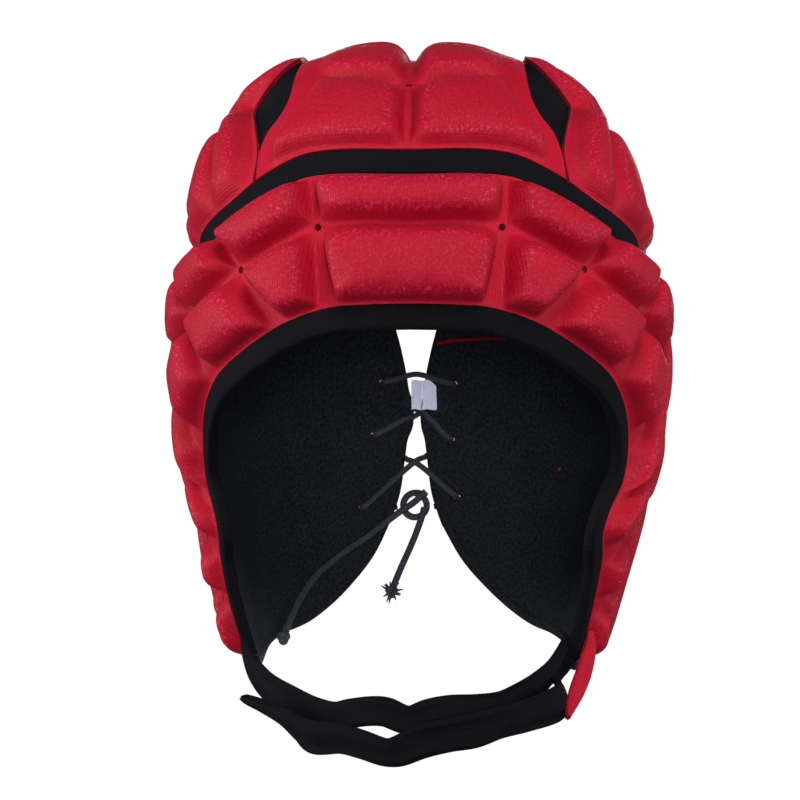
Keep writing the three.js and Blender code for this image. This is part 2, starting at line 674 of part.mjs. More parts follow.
// Crown: a top panel of two columns, and a panel of two rows on each side.
const crownCentre = {
  surface: crownCentreSurface,
  columns: [0, 0.5, 1],
  rows: CROWN_ROWS,
  crest: () => CREST.crown,
  lift: crownLift,
  flip: false,
};
const crownVents = [CROWN_ROWS[1], CROWN_ROWS[3]].map((row) => ({
  direction: crownCentreSurface(0.5, row),
  diameter: VENT_DIAMETER,
}));
add("crown_centre", pierced(quiltedPanel(crownCentre), crownVents), RED_MESH);
add("crown_centre_lining", pierced(liningFor(crownCentre), crownVents), BLACK_LINING);
for (const [name, side] of [["left", -1], ["right", 1]]) {
  const crownSide = {
    surface: crownSideSurface(side),
    columns: CROWN_SIDE_COLUMNS,
    rows: [0, 0.5, 1],
    crest: (u, v) => lerp(CREST.crownRim, CREST.crownUpper, THREE.MathUtils.smoothstep(v, 0.25, 0.75)),
    lift: crownLift,
    hold: CROWN_ROW_HOLD,
    flip: side < 0,
  };
  add(`crown_${name}`, quiltedPanel(crownSide), RED_MESH);
  add(`crown_${name}_lining`, liningFor(crownSide), BLACK_LINING);
}

// Black band between the brow panel and the crown, round the whole head.
const bandFrames = headFrames(bandLine, spread(56, 0, 360).slice(0, -1), 0.5);
const bandEdges = [[-0.5, LINING_TOP], [0.5, LINING_TOP], [0.5, SEAM_TOP], [-0.5, SEAM_TOP]];
add("crown_band", sweptBand(bandFrames, bandEdges.map(([a, o]) => [a * (BAND_WIDTH - 2 * BAND_EASE), o]), true), BLACK_KNIT);

// Back panels with an eyelet margin along the slit, and the binding of their free edge.
const eyeletAt = (side, row) => turnAbout(aim(180 - side * row.turn, row.elevation), SLIT_TURN);
for (const [name, side] of [["left", -1], ["right", 1]]) {
  const back = {
    surface: backSurface(side),
    columns: BACK_COLUMNS,
    rows: BACK_ROWS,
    crest: () => CREST.back,
    margin: 1,
    flip: side < 0,
  };
  const holes = EYELETS.map((row) => ({ direction: eyeletAt(side, row), diameter: EYELET_DIAMETER }));
  holes.push({ direction: back.surface(BACK_COLUMNS[2], BACK_ROWS[1]), diameter: VENT_DIAMETER });
  add(`back_${name}`, pierced(quiltedPanel(back), holes), RED_MESH);
  add(`back_${name}_lining`, pierced(liningFor(back), holes), BLACK_LINING);

  const edge = (t) => {
    if (t < 0) return browSurface(side * SEAM_STATIONS.last, 2 * (1 + t)).normalize();
    return (t < 1 ? back.surface(t, 0) : back.surface(1, t - 1)).normalize();
  };
  const places = [...spread(4, -0.6, -0.08), ...spread(15, 0.06, 1), ...spread(11, 1.06, 1.98)];
  const section = bandSection(FIT_GAP, NAPE_BINDING_WIDTH, -0.2, SEAM_TOP + 0.4, 0.8);
  const frames = headFrames(edge, places, 0.03);
  const turned = side > 0 ? section : section.map(([a, o]) => [-a, o]).reverse();
  add(`nape_binding_${name}`, sweptBand(frames, turned, false), BLACK_KNIT);
}

// Binding round the face opening.
const faceEnds = [-FACE_BINDING_END, ...padLines(browColumns).slice(2, -2), FACE_BINDING_END];
const faceFrames = headFrames(faceLine, faceEnds, 0.05);
const faceSection = bandSection(FIT_GAP, FACE_BINDING_WIDTH, -0.2, SEAM_TOP + 0.6, 1.2);
add("face_binding", sweptBand(faceFrames, faceSection, false), BLACK_KNIT);

// Lapped chin strap: the loop strap from the left cheek, the hook strap from the red tab.
add("chin_strap_loop", strap(LOOP_STRAP, 20), BLACK_KNIT);
add("chin_strap_hook", strap(HOOK_STRAP, 24), BLACK_KNIT);
add("chin_tab", strap(CHIN_TAB, 8, CHIN_TAB_FACING), RED_MESH);

// Lace: a bar inside at the top, then out through each eyelet and in through the slit.
const INSIDE = -0.4 - CORD_DIAMETER / 2;
const OUTSIDE = SEAM_TOP + 1.1 + CORD_DIAMETER / 2;
const KNOT = { x: -4.9, y: 91.1, z: -63.8 };
function laceStrand(side) {
  const spot = (turn, elevation, height) =>
    onHead(turnAbout(aim(180 - side * turn, elevation), SLIT_TURN), height);
  const points = [];
  EYELETS.forEach(({ turn, elevation, share, wall }, row) => {
    const flank = row % 2 ? -1 : 1;
    points.push(spot(flank * (turn - 3), elevation + 0.6, INSIDE - 0.6));
    points.push(spot(flank * (turn - 0.4), elevation, INSIDE));
    points.push(spot(flank * turn, elevation, SEAM_TOP / 2));
    points.push(spot(flank * (turn - 0.4), elevation - 0.4, OUTSIDE));
    if (row === EYELETS.length - 1) return;
    const next = EYELETS[row + 1];
    const pass = elevation - (share + 0.07 * side) * (elevation - next.elevation);
    const slope = (pass - next.elevation) / (wall + next.turn);
    points.push(spot(flank * (wall + 2.2), pass + 1.6, OUTSIDE + 0.4));
    points.push(spot(flank * (wall + 0.8), pass + 0.6, OUTSIDE - 0.8));
    points.push(spot(flank * wall, pass, SEAM_TOP / 2));
    points.push(spot(flank * (wall - 1.3), pass - 1.3 * slope, INSIDE - 0.2));
    points.push(spot(flank * (wall - 3.8), pass - 3.8 * slope, INSIDE - 1 - 0.6 * side));
  });
  points.push(spot(4.6, -34.6, OUTSIDE));
  return points;
}
const bar = onHead(turnAbout(aim(180, -4.3), SLIT_TURN), INSIDE - 0.8);
add("lace", roundCord([...laceStrand(-1).reverse(), bar, ...laceStrand(1)], 76), BLACK_CORD);

const knotRing = new THREE.TorusGeometry(5, 1.5, 8, 12).rotateX(Math.PI / 2);
add("lace_knot", knotRing.translate(KNOT.x, KNOT.y, KNOT.z), BLACK_CORD);
const spotAt = (row) => new THREE.Vector3(row.x, row.y, row.z);
const onLining = (row, i) => onHead(aim(row.azimuth, row.elevation), INSIDE - 0.6 - 0.03 * (i + 1) ** 2);
const longEnd = [...LONG_START.map(spotAt), ...LONG_END.map(onLining)];
const shortEnd = SHORT_END.map(spotAt);
add("lace_end_long", roundCord(longEnd, 15), BLACK_CORD);
add("lace_end_short", roundCord(shortEnd, 7), BLACK_CORD);

// The long end stops in a tight knot, the short end in a frayed tip.
function tipPast(points, reach, size, length) {
  const [before, last] = points.slice(-2);
  const along = last.clone().sub(before).normalize();
  const tip = new THREE.SphereGeometry(size / 2, 8, 6).scale(1, length / size, 1);
  tip.applyQuaternion(new THREE.Quaternion().setFromUnitVectors(new THREE.Vector3(0, 1, 0), along));
  const at = last.clone().addScaledVector(along, reach + length / 2);
  return tip.translate(at.x, at.y, at.z);
}
add("lace_tip_long", tipPast(longEnd, FIT_GAP, 5.4, 6), BLACK_CORD);
add("lace_tip_short", tipPast(shortEnd, FIT_GAP, 3.6, 6), BLACK_CORD);

// White tag in the slit.
const tagFrames = headFrames((z) => turnAbout(aim(180, z), SLIT_TURN - 1.9), spread(3, -13.4, -6.4), 0.3);
add("label", sweptBand(tagFrames, [[-5.4, -0.95], [5.4, -0.95], [5.4, -0.5], [-5.4, -0.5]], false), WHITE_TAG);

const part = new THREE.Group();
part.name = "padded_head_guard";
part.add(guard);
export default part;
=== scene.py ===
import math

import bpy
import numpy as np
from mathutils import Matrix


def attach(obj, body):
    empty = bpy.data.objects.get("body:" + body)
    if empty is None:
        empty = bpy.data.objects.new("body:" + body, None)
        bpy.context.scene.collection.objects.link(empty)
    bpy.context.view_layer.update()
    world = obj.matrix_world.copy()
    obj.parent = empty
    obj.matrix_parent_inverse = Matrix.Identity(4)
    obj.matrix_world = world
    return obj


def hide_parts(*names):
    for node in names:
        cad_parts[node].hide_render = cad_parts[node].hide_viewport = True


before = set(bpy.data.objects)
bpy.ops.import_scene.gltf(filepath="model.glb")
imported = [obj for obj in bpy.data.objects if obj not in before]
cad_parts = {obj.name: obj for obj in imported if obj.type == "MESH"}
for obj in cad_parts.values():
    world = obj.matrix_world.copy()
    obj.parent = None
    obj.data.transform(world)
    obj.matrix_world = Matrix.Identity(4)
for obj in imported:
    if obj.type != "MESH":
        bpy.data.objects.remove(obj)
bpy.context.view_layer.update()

CAMERA_SPOT = (0.04395, -1.19922, -0.1275)
CAMERA_TURN = 2.5
CAMERA_LENS, CAMERA_SENSOR = 138.24, 36.0


def put_in_scene(name, data):
    placed = bpy.data.objects.new(name, data)
    bpy.context.scene.collection.objects.link(placed)
    return placed


camera_lens = bpy.data.cameras.new("front_camera")
camera_lens.sensor_width = CAMERA_SENSOR
camera_lens.lens = CAMERA_LENS
camera = put_in_scene("front_camera", camera_lens)
camera.location = CAMERA_SPOT
camera.rotation_euler = (math.radians(90), 0, math.radians(CAMERA_TURN))
bpy.context.scene.camera = camera

# Lace: a thin round elastic cord in a braided black cover, threaded through three eyelets on
# each side of the rear slit, tied in a ring, with two loose ends. It lies against the lining,
# so the form of the head that the guard fits is set out here, in millimetres.
CORD_DIAMETER, LACE_DIAMETER = 2.8, 2.4
CORD_BLACK = (0.006, 0.0064, 0.0085, 1)
CORD_LIGHT = (0.11, 0.12, 0.16, 1)
HEAD_HALF_WIDTH, HEAD_FRONT, HEAD_REAR = 84.5, 97.0, 101.0
HEAD_UP, HEAD_DOWN = 108.0, 210.0
# How far the guard leans sideways, by height.
SWAY = [(-160, -2.5), (-95, -2.5), (-65, -1), (40, -0.8), (80, -2.2), (130, -2.2)]
SEAM_TOP = 3.4
SLIT_TURN = 3.0
# Each row of eyelets: degrees from the slit and level, how far down and how far from the middle
# the lace then goes through the slit, and how much further out and up the right eyelet sits.
EYELETS = [
    (8.5, -7.0, 0.58, -1.0, 0.5, -0.2), (9.4, -19.8, 0.35, 1.4, -0.8, -0.5),
    (12.4, -34.2, 0, 0, -1.8, 1.2)]
EYELET_DIAMETER = 2.8
LACE_BAR_LEVEL = -5.0
LACE_INSIDE = -0.4 - CORD_DIAMETER / 2
LACE_OUTSIDE = SEAM_TOP + 1.1 + CORD_DIAMETER / 2
LONG_START = [(-0.4, 87.2, -57.8), (-5.4, 87.5, -62.4), (-12.4, 86.4, -67.2)]
LONG_END = [
    (-163.4, -41.5), (-156, -44.6), (-147, -48.6), (-138.5, -52.8), (-130.5, -56.6), (-122.6, -59.6)]
SHORT_END = [
    (-1, 87.4, -64.6), (-2.4, 86.2, -70), (-5.4, 83.4, -79.5), (-9.4, 80.4, -90), (-12, 78.8, -97)]
KNOT_MIDDLE, KNOT_RADII, KNOT_DEPTH = (-4.9, 91.1, -63.8), (5.4, 4.6), 3.0
TIP_LOOP, LONG_TIP_CORD, SHORT_TIP_CORD, FRAYED_STRANDS = 0.62, 2.3, 2.1, 18
BRAID_ALONG, BRAID_ROUND = 3800.0, 4286.0


def cubic(a, b, m, n, t):
    """A curve from a to b that starts with slope m and ends with slope n."""
    return ((2 * (a - b) + m + n) * t + 3 * (b - a) - 2 * m - n) * t * t + m * t + a


def value_at(table, place, column=1):
    """A column of a table, read smoothly between its rows."""
    rows = np.asarray(table, float)
    x, y = rows[:, 0], rows[:, column]
    near = np.concatenate([[0], np.arange(len(x)), [len(x) - 1]])
    slope = (y[near[2:]] - y[near[:-2]]) / (x[near[2:]] - x[near[:-2]])
    place = np.asarray(place, float)
    i = np.clip(np.searchsorted(x, place) - 1, 0, len(x) - 2)
    span = x[i + 1] - x[i]
    return cubic(y[i], y[i + 1], slope[i] * span, slope[i + 1] * span, (place - x[i]) / span)


def unit(v):
    return v / np.maximum(np.linalg.norm(v, axis=-1, keepdims=True), 1e-12)


def aim(azimuth, elevation):
    a, e = np.broadcast_arrays(np.radians(azimuth), np.radians(elevation))
    return np.stack([np.cos(e) * np.sin(a), -np.cos(e) * np.cos(a), np.sin(e)], -1)


def turn_of(v):
    return np.degrees(np.arctan2(v[..., 0], -v[..., 1]))


def level_of(v):
    return np.degrees(np.arcsin(v[..., 2]))


def turned(v, degrees):
    c, s = np.cos(np.radians(degrees)), np.sin(np.radians(degrees))
    return np.stack([v[..., 0] * c - v[..., 1] * s, v[..., 0] * s + v[..., 1] * c, v[..., 2]], -1)


def head_level(p):
    x, y, z = p[..., 0], p[..., 1], p[..., 2]
    length = np.where(y < 0, HEAD_FRONT, HEAD_REAR)
    height = np.where(z > 0, HEAD_UP, HEAD_DOWN)
    power = np.where(z > 0, 2.6, 1.6)
    plan = np.abs(x / HEAD_HALF_WIDTH) ** 2.2 + np.abs(y / length) ** 2.2
    return (plan ** (power / 2.2) + np.abs(z / height) ** power) ** (1 / power)


def head_normal(p):
    steps = 0.5 * np.eye(3)
    return unit(np.stack([head_level(p + s) - head_level(p - s) for s in steps], -1))


def on_head(direction, height=0.0):
    p = direction / head_level(direction)[..., None]
    return p + head_normal(p) * np.asarray(height)[..., None]


def smooth_run(points):
    p = np.asarray(points, float)
    p = np.concatenate([[2 * p[0] - p[1]], p, [2 * p[-1] - p[-2]]])

    def gap(q, r):
        return np.linalg.norm(r - q, axis=-1, keepdims=True) ** 0.5

    def at(t):
        t = np.clip(np.asarray(t, float), 0, 1) * (len(p) - 3)
        i = np.minimum(np.floor(t).astype(int), len(p) - 4)
        w = (t - i)[..., None]
        a, b, c, d = p[i], p[i + 1], p[i + 2], p[i + 3]
        ab, bc, cd = gap(a, b), gap(b, c), gap(c, d)
        m = ((b - a) / ab - (c - a) / (ab + bc) + (c - b) / bc) * bc
        n = ((c - b) / bc - (d - b) / (bc + cd) + (d - c) / cd) * bc
        return cubic(b, c, m, n, w)

    return at


def lengths_along(points):
    steps = np.linalg.norm(np.diff(points, axis=0), axis=-1)
    return np.concatenate([np.zeros((1, *steps.shape[1:])), np.cumsum(steps, axis=0)])


def even_run(points, count):
    run = smooth_run(points)
    t = np.linspace(0, 1, 60 * len(points))
    s = lengths_along(run(t))
    return run(np.interp(np.linspace(0, s[-1], count), s, t))


def in_frame(points):
    spots = np.array(points, float)
    spots[..., 0] += value_at(SWAY, spots[..., 2])
    spots[..., 2] -= HEAD_UP
    return spots * 0.001


def grid_patch(numbers, cloth, wrap=False, flip=False):
    """Faces over a grid of point numbers, with the cloth measure in millimetres at each corner."""
    if wrap:
        numbers = np.concatenate([numbers, numbers[:, :1]], 1)

    def corners(a):
        around = [a[:-1, :-1], a[1:, :-1], a[1:, 1:], a[:-1, 1:]]
        return np.stack(around[::-1] if flip else around, 2)

    return corners(numbers).reshape(-1, 4), corners(cloth).reshape(-1, 4, 2)


def make_piece(name, part, material, in_cad=True, marks=None):
    """A piece from a part in millimetres, with its material, its body and the node it stands for."""
    points, patches, caps = part
    faces = np.concatenate([f for f, _ in patches])
    cloth = np.concatenate([c for _, c in patches]).reshape(-1, 2)
    used = np.unique(np.concatenate([faces.ravel(), *caps]).astype(int))
    new = np.zeros(len(points), int)
    new[used] = np.arange(len(used))
    mesh = bpy.data.meshes.new(name)
    polygons = new[faces].tolist() + [new[np.asarray(c)].tolist() for c in caps]
    mesh.from_pydata(in_frame(points[used]).tolist(), [], polygons)
    cloth = np.concatenate([cloth, np.zeros((sum(len(c) for c in caps), 2))]) * 0.001
    mesh.uv_layers.new(name="cloth").data.foreach_set("uv", cloth.ravel())
    for mark, values in (marks or {}).items():
        mesh.attributes.new(mark, "FLOAT", "POINT").data.foreach_set("value", values[used])
    mesh.shade_smooth()
    mesh.materials.append(material)
    piece = put_in_scene(name, mesh)
    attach(piece, "root")
    if in_cad:
        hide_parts(name)
    return piece


def cord_tube(path, radius, sides=12, closed=False):
    """Points, patches and caps of a tube along a path, its radius even or given point by point."""
    along = unit(np.gradient(path, axis=0))
    side = [unit(np.cross(along[0], (0.3, 0.2, 0.93)))]
    for a in along[1:]:
        side.append(unit(side[-1] - a * (side[-1] @ a)))
    side = np.array(side)[:, None]
    turn = np.linspace(0, 2 * np.pi, sides + 1)[:-1, None]
    ring = side * np.cos(turn) + np.cross(along[:, None], side) * np.sin(turn)
    radius = np.broadcast_to(radius, len(path))[:, None, None]
    points = (path[:, None] + ring * radius).reshape(-1, 3)
    numbers = np.arange(len(points)).reshape(len(path), sides)
    cloth = np.stack(np.broadcast_arrays(
        lengths_along(path)[:, None], np.linspace(0, 2 * np.pi * CORD_DIAMETER / 2, sides + 1)), -1)
    caps = [] if closed else [numbers[0], numbers[-1][::-1]]
    return points, [grid_patch(numbers, cloth, True, True)], caps


def join_parts(parts):
    """One set of points, patches and caps from several."""
    points, patches, caps, start = [], [], [], 0
    for p, sides, ends in parts:
        points.append(p)
        patches.extend((faces + start, cloth) for faces, cloth in sides)
        caps.extend(np.asarray(e) + start for e in ends)
        start += len(p)
    return np.concatenate(points), patches, caps


def add_node(tree, kind, inputs, **settings):
    made = tree.nodes.new(kind)
    for key, value in settings.items():
        setattr(made, key, value)
    for key, value in inputs.items():
        if isinstance(value, bpy.types.NodeSocket):
            tree.links.new(value, made.inputs[key])
        else:
            made.inputs[key].default_value = value
    return made


def calc(tree, operation, a, b=0.0, c=0.0):
    return add_node(tree, "ShaderNodeMath", {0: a, 1: b, 2: c}, operation=operation).outputs[0]


def scaled(tree, value, by, add=0.0):
    return calc(tree, "MULTIPLY_ADD", value, by, add)


def colours(tree, share, a, b):
    mixed = add_node(tree, "ShaderNodeMix", {0: share, 6: a, 7: b}, data_type="RGBA")
    return mixed.outputs[2]


def new_group(name, inputs, outputs):
    """An empty node group with its named sockets, and the two ends inside it."""
    tree = bpy.data.node_groups.new(name, "ShaderNodeTree")
    for label, kind, value in inputs:
        socket = tree.interface.new_socket(label, in_out="INPUT", socket_type=kind)
        if value is not None:
            socket.default_value = value
    for label in outputs:
        tree.interface.new_socket(label, in_out="OUTPUT", socket_type="NodeSocketFloat")
    return tree, tree.nodes.new("NodeGroupInput").outputs, tree.nodes.new("NodeGroupOutput").inputs


def use_group(tree, group, inputs):
    return add_node(tree, "ShaderNodeGroup", inputs, node_tree=group).outputs


def new_finish(name, **plain):
    """A material with its shader, its even values set, and the cloth measure to work from."""
    material = bpy.data.materials.new(name)
    material.use_nodes = True
    tree = material.node_tree
    shader = tree.nodes["Principled BSDF"]
    for key, value in plain.items():
        shader.inputs[key.replace("_", " ")].default_value = value
    cloth = add_node(tree, "ShaderNodeUVMap", {}, uv_map="cloth").outputs[0]
    return material, tree, shader, cloth


def lead_in(tree, shader, **sockets):
    for key, socket in sockets.items():
        tree.links.new(socket, shader.inputs[key.replace("_", " ")])


def raise_relief(tree, shader, height, distance, strength):
    bump = add_node(tree, "ShaderNodeBump", {"Strength": strength, "Distance": distance, "Height": height})
    lead_in(tree, shader, Normal=bump.outputs[0])


# Fuzz of loose fibre: fine specks, and wide soft mottling.
fibre_fuzz, given, put_out = new_group(
    "fibre_fuzz",
    [("Cloth", "NodeSocketVector", None), ("Speck Size", "NodeSocketFloat", 0.0006),
     ("Mottle Size", "NodeSocketFloat", 0.012)],
    ["Specks", "Mottle"])
for size, output, detail in (("Speck Size", "Specks", 2.0), ("Mottle Size", "Mottle", 3.0)):
    scale = calc(fibre_fuzz, "DIVIDE", 1.0, given[size])
    noise = add_node(
        fibre_fuzz, "ShaderNodeTexNoise",
        {"Vector": given["Cloth"], "Scale": scale, "Detail": detail, "Roughness": 0.6})
    fibre_fuzz.links.new(noise.outputs[0], put_out[output])


def fuzz_on(tree, cloth, speck, mottle):
    return use_group(tree, fibre_fuzz, {"Cloth": cloth, "Speck Size": speck, "Mottle Size": mottle})


braided_cord, tree, shader, cloth = new_finish(
    "braided_cord", Sheen_Weight=0.06, Sheen_Roughness=0.4, Specular_IOR_Level=0.35)
split = add_node(tree, "ShaderNodeSeparateXYZ", {0: cloth}).outputs
along = scaled(tree, split[0], BRAID_ALONG)
runs = [scaled(tree, split[1], lean, along) for lean in (BRAID_ROUND, -BRAID_ROUND)]
braid = scaled(tree, *[calc(tree, "SINE", run) for run in runs])
braid = scaled(tree, braid, 0.5, 0.5)
fuzz = fuzz_on(tree, cloth, 0.0005, 0.006)
share = scaled(tree, calc(tree, "ADD", braid, fuzz["Specks"]), 0.5)
rough = scaled(tree, fuzz["Specks"], 0.3, 0.42)
lead_in(tree, shader, Base_Color=colours(tree, share, CORD_BLACK, CORD_LIGHT), Roughness=rough)
raise_relief(tree, shader, braid, 0.0004, 0.7)


def slit_spot(turn, elevation, height):
    return on_head(turned(aim(180 - turn, elevation), SLIT_TURN), height)


def eyelet_place(row, flank):
    turn, elevation, _, _, lean, tilt = EYELETS[row]
    return turn + lean * flank, elevation + tilt * flank


def lace_strand(side):
    """One half of the lace, in at each eyelet, out, and back through the slit to the other side."""
    points = []
    slope = (LACE_BAR_LEVEL - EYELETS[0][1]) / EYELETS[0][0]
    for row, (_, _, share, wall, _, _) in enumerate(EYELETS):
        flank = -side if row % 2 else side
        turn, elevation = eyelet_place(row, flank)
        spots = [
            (turn - 3, elevation + 2.6 * slope, LACE_INSIDE - 0.6),
            (turn - 0.4, elevation + 0.2 * slope, LACE_INSIDE),
            (turn, elevation, SEAM_TOP / 2),
            (turn - 0.4, elevation - 0.4, LACE_OUTSIDE)]
        if row < len(EYELETS) - 1:
            next_turn, next_level = eyelet_place(row + 1, -flank)
            through = elevation - (share + 0.07 * side) * (elevation - next_level)
            slope = (through - next_level) / (wall + next_turn)
            spots += [
                (wall + 2.2, through + 1.6, LACE_OUTSIDE + 0.4),
                (wall + 0.8, through + 0.6, LACE_OUTSIDE - 0.8),
                (wall, through, SEAM_TOP / 2),
                (wall - 1.3, through - 1.3 * slope, LACE_INSIDE - 0.2),
                (wall - 3.8, through - 3.8 * slope, LACE_INSIDE - 1.0 - 0.6 * side)]
        points += [slit_spot(flank * out, level, height) for out, level, height in spots]
    return points + [slit_spot(side * 4.6, -34.6, LACE_OUTSIDE)]


lace_bar = slit_spot(0, LACE_BAR_LEVEL, LACE_INSIDE - 0.8)
lace_path = even_run([*lace_strand(-1)[::-1], lace_bar, *lace_strand(1)], 420)
make_piece("lace", cord_tube(lace_path, LACE_DIAMETER / 2), braided_cord)

turn = np.radians(np.linspace(40, 450, 90))
spread, deep = np.linspace(*KNOT_RADII, 90), np.linspace(KNOT_DEPTH / 2, -KNOT_DEPTH / 2, 90)
knot_path = KNOT_MIDDLE + np.stack([spread * np.cos(turn), deep, spread * np.sin(turn)], -1)
make_piece("lace_knot", cord_tube(knot_path, CORD_DIAMETER / 2), braided_cord)

long_heights = LACE_INSIDE - 0.6 - 0.03 * np.arange(1, len(LONG_END) + 1) ** 2
long_path = even_run([*LONG_START, *on_head(aim(*np.array(LONG_END, float).T), long_heights)], 140)
short_path = even_run(SHORT_END, 60)


def tip_place(path, reach):
    along = unit(path[-1] - path[-4])
    return path[-1] + along * reach, along


# The long end stops in a small tight knot, the short end in a knot of frayed strands.
t = np.linspace(0, 2 * np.pi, 90)
loops = np.stack([np.sin(t) + 2 * np.sin(2 * t), -np.sin(3 * t) * 1.6, np.cos(t) - 2 * np.cos(2 * t)], -1)
at, along = tip_place(long_path, 3.2)
tight_knot = cord_tube(at + loops * TIP_LOOP, LONG_TIP_CORD / 2, closed=True)
long_tip = make_piece("lace_tip_long", tight_knot, braided_cord)

at, along = tip_place(short_path, 2.4)
parts = [cord_tube(at + loops[::-1] * TIP_LOOP, SHORT_TIP_CORD / 2, closed=True)]
for k in range(FRAYED_STRANDS):
    swing = 2.4 * k
    aside = np.array([math.cos(swing), 0.4 * math.sin(3 * swing), math.sin(swing)])
    out = unit(along * (0.5 * math.cos(1.7 * k)) + aside)
    reach = 4.3 + 0.8 * math.sin(3.1 * k)
    bend = np.array([0.3 * math.sin(5 * k), 0.2, 0.4 * math.cos(4 * k)])
    strand = np.array([at + out * reach * s + bend * s * s for s in np.linspace(0.2, 1, 6)])
    parts.append(cord_tube(strand, np.linspace(0.8, 0.2, 6), 6))
short_tip = make_piece("lace_tip_short", join_parts(parts), braided_cord)

for name, path, tip in (("lace_end_long", long_path, long_tip), ("lace_end_short", short_path, short_tip)):
    end = make_piece(name, cord_tube(path, CORD_DIAMETER / 2), braided_cord)
    line = in_frame(path)

# Brow panel: one horseshoe of red mesh over foam pads in two rows, from cheek to cheek. The
# mesh is pressed down flat round each pad, swollen over it by a short cloth simulation, and
# punched with vents where the channels cross.
CHANNEL = 2.6
PAD_SHOULDER, PAD_CURVE = 8.0, 2.4
SEAM_MARGIN = 1.4
PANEL_BASE = 1.6
BROW_CREST, CHEEK_CREST = 14.0, 11.5
CHEEK_LEVEL, BROW_LEVEL = -42, -26
CLOTH_ROUND, CLOTH_DOWN = 92, 105
VENT_DIAMETER, VENT_STAR = 2.6, 7.0
SWELL_PRESSURE, SWELL_MASS, SWELL_STEPS, SWELL_LIMIT = 12.0, 0.02, 12, 2.0
GRIP_STEPS = 20
LUMP_HEIGHT, LUMP_LENGTH = 0.5, 46
DIMPLE_HEIGHT, DIMPLE_LENGTH = 0.22, 15
PUCKER_HEIGHT, PUCKER_LENGTH = 0.16, 6
# Shares of a pad's rise: where the mesh puckers, where it is pressed flat, and where a painted highlight
# glints on the pad's shoulder.
PUCKER_AT, PUCKER_REACH, PRESSED_BELOW, PAINTED_GLINT_AT, PAINTED_GLINT_REACH = 0.4, 0.25, 0.2, 0.88, 0.09
BAND_WIDTH = 9.2
FIT_GAP = 0.4
MESH_RED = (0.42, 0.003, 0.021, 1)
MESH_DEEP = (0.27, 0.0012, 0.008, 1)
# The colour of the painted highlight on the pads.
MESH_PAINTED_GLINT = (0.72, 0.045, 0.14, 1)
MESH_PRESSED_AND_LIT = (0.52, 0.006, 0.03, 1)
# The middle of the black band above the panel: degrees from the front and level.
BAND_LINE = [(0, 37.3), (24, 37.1), (36, 33.7), (49, 29), (72, 24.6), (105, 19), (145, 13.5), (180, 11)]
# The face opening's edge by stations: degrees from the front and level, where the two pad rows
# meet, and how much wider it stands on the left side.
FACE_LINE = [
    (0, 0, 8.6, 0.62, 0), (0.5, 9, 8.4, 0.62, 0), (1, 17, 7.8, 0.61, 0), (2, 28.2, 4.4, 0.57, 0),
    (2.5, 39, -0.8, 0.54, 0), (3, 50.5, -6.8, 0.52, 0.5), (3.5, 59.5, -14.5, 0.5, 1.5),
    (4, 65, -23, 0.5, 3), (4.6, 65.5, -31, 0.5, 6.5), (5, 59.5, -36, 0.5, 9),
    (5.5, 58, -41, 0.5, 9.5), (6, 63.5, -46.5, 0.5, 8), (7, 74, -62.4, 0.5, 4)]
# The stations along the band: station and degrees from the front.
BROW_ON_BAND = [(0, 0), (1, 22.7), (2, 52), (3, 76), (4, 99.8)]
SEAM_TOP_TURN, SEAM_FOOT_TURN, NAPE_START = 100.0, 93.0, -63.0


def head_frames(line, places, reach):
    """Places on the head along a line, with the way across it and the way out."""
    at = on_head(line(places))
    out = head_normal(at)
    along = unit(on_head(line(places + reach)) - on_head(line(places - reach)))
    return at, unit(np.cross(along, out)), out


def mirrored(v, side):
    return np.stack([v[..., 0] * side, v[..., 1], v[..., 2]], -1)


def band_line(azimuth):
    return aim(azimuth, value_at(BAND_LINE, np.abs((azimuth + 540) % 360 - 180)))


def band_edge(azimuth, up):
    at, across, _ = head_frames(band_line, np.asarray(azimuth, float), 0.5)
    return unit(at - across * up * (BAND_WIDTH / 2 + FIT_GAP))


def face_line(station):
    place = np.abs(station)
    azimuth = value_at(FACE_LINE, place)
    turn = np.where(station < 0, -azimuth - value_at(FACE_LINE, place, 4), azimuth)
    return aim(turn, value_at(FACE_LINE, place, 2))


seam_top = band_edge(SEAM_TOP_TURN, -1)
seam_turn, seam_level = turn_of(seam_top), level_of(seam_top)


def side_seam(drop):
    turn = seam_turn + (SEAM_FOOT_TURN - seam_turn) * drop
    return aim(turn, seam_level + (NAPE_START - seam_level) * drop)


def brow_outer(station):
    above = band_edge(value_at(BROW_ON_BAND, np.minimum(station, 4)), -1)
    below = side_seam((np.maximum(station, 4) - 4) / 3)
    return np.where((station <= 4)[..., None], above, below)


def brow_surface(column, row):
    station = np.abs(column)
    share = value_at(FACE_LINE, station, 3)
    across = np.where(row <= 1, row * share, share + (row - 1) * (1 - share))[..., None]
    outer = mirrored(brow_outer(station), np.where(column < 0, -1, 1))
    return face_line(column) * (1 - across) + outer * across


def waves(p, size, seed):
    """Soft lumps about a size in millimetres, between -1 and 1."""
    q = np.asarray(p) * (2 * np.pi / size)
    runs = [(0.9, 0.3, 0.5), (-0.4, 0.8, 0.6), (0.2, -0.7, 0.8), (0.7, 0.6, -0.5)]
    return sum(np.sin(q @ np.array(r) * (1 + 0.21 * k) + seed * (k + 1.7)) for k, r in enumerate(runs)) / 4


def fine_lines(stations, measure):
    """Lines across each pad, closer together beside the channels, and where the stations fall."""
    lines, places = [], [0]
    for a, b in zip(stations[:-1], stations[1:]):
        count = int(max(14, measure(a, b) / 1.15))
        x = np.arange(count) / count
        lines.append(a + (b - a) * (0.5 * x + 0.25 * (1 - np.cos(np.pi * x))))
        places.append(places[-1] + count)
    return np.concatenate([*lines, [stations[-1]]]), places


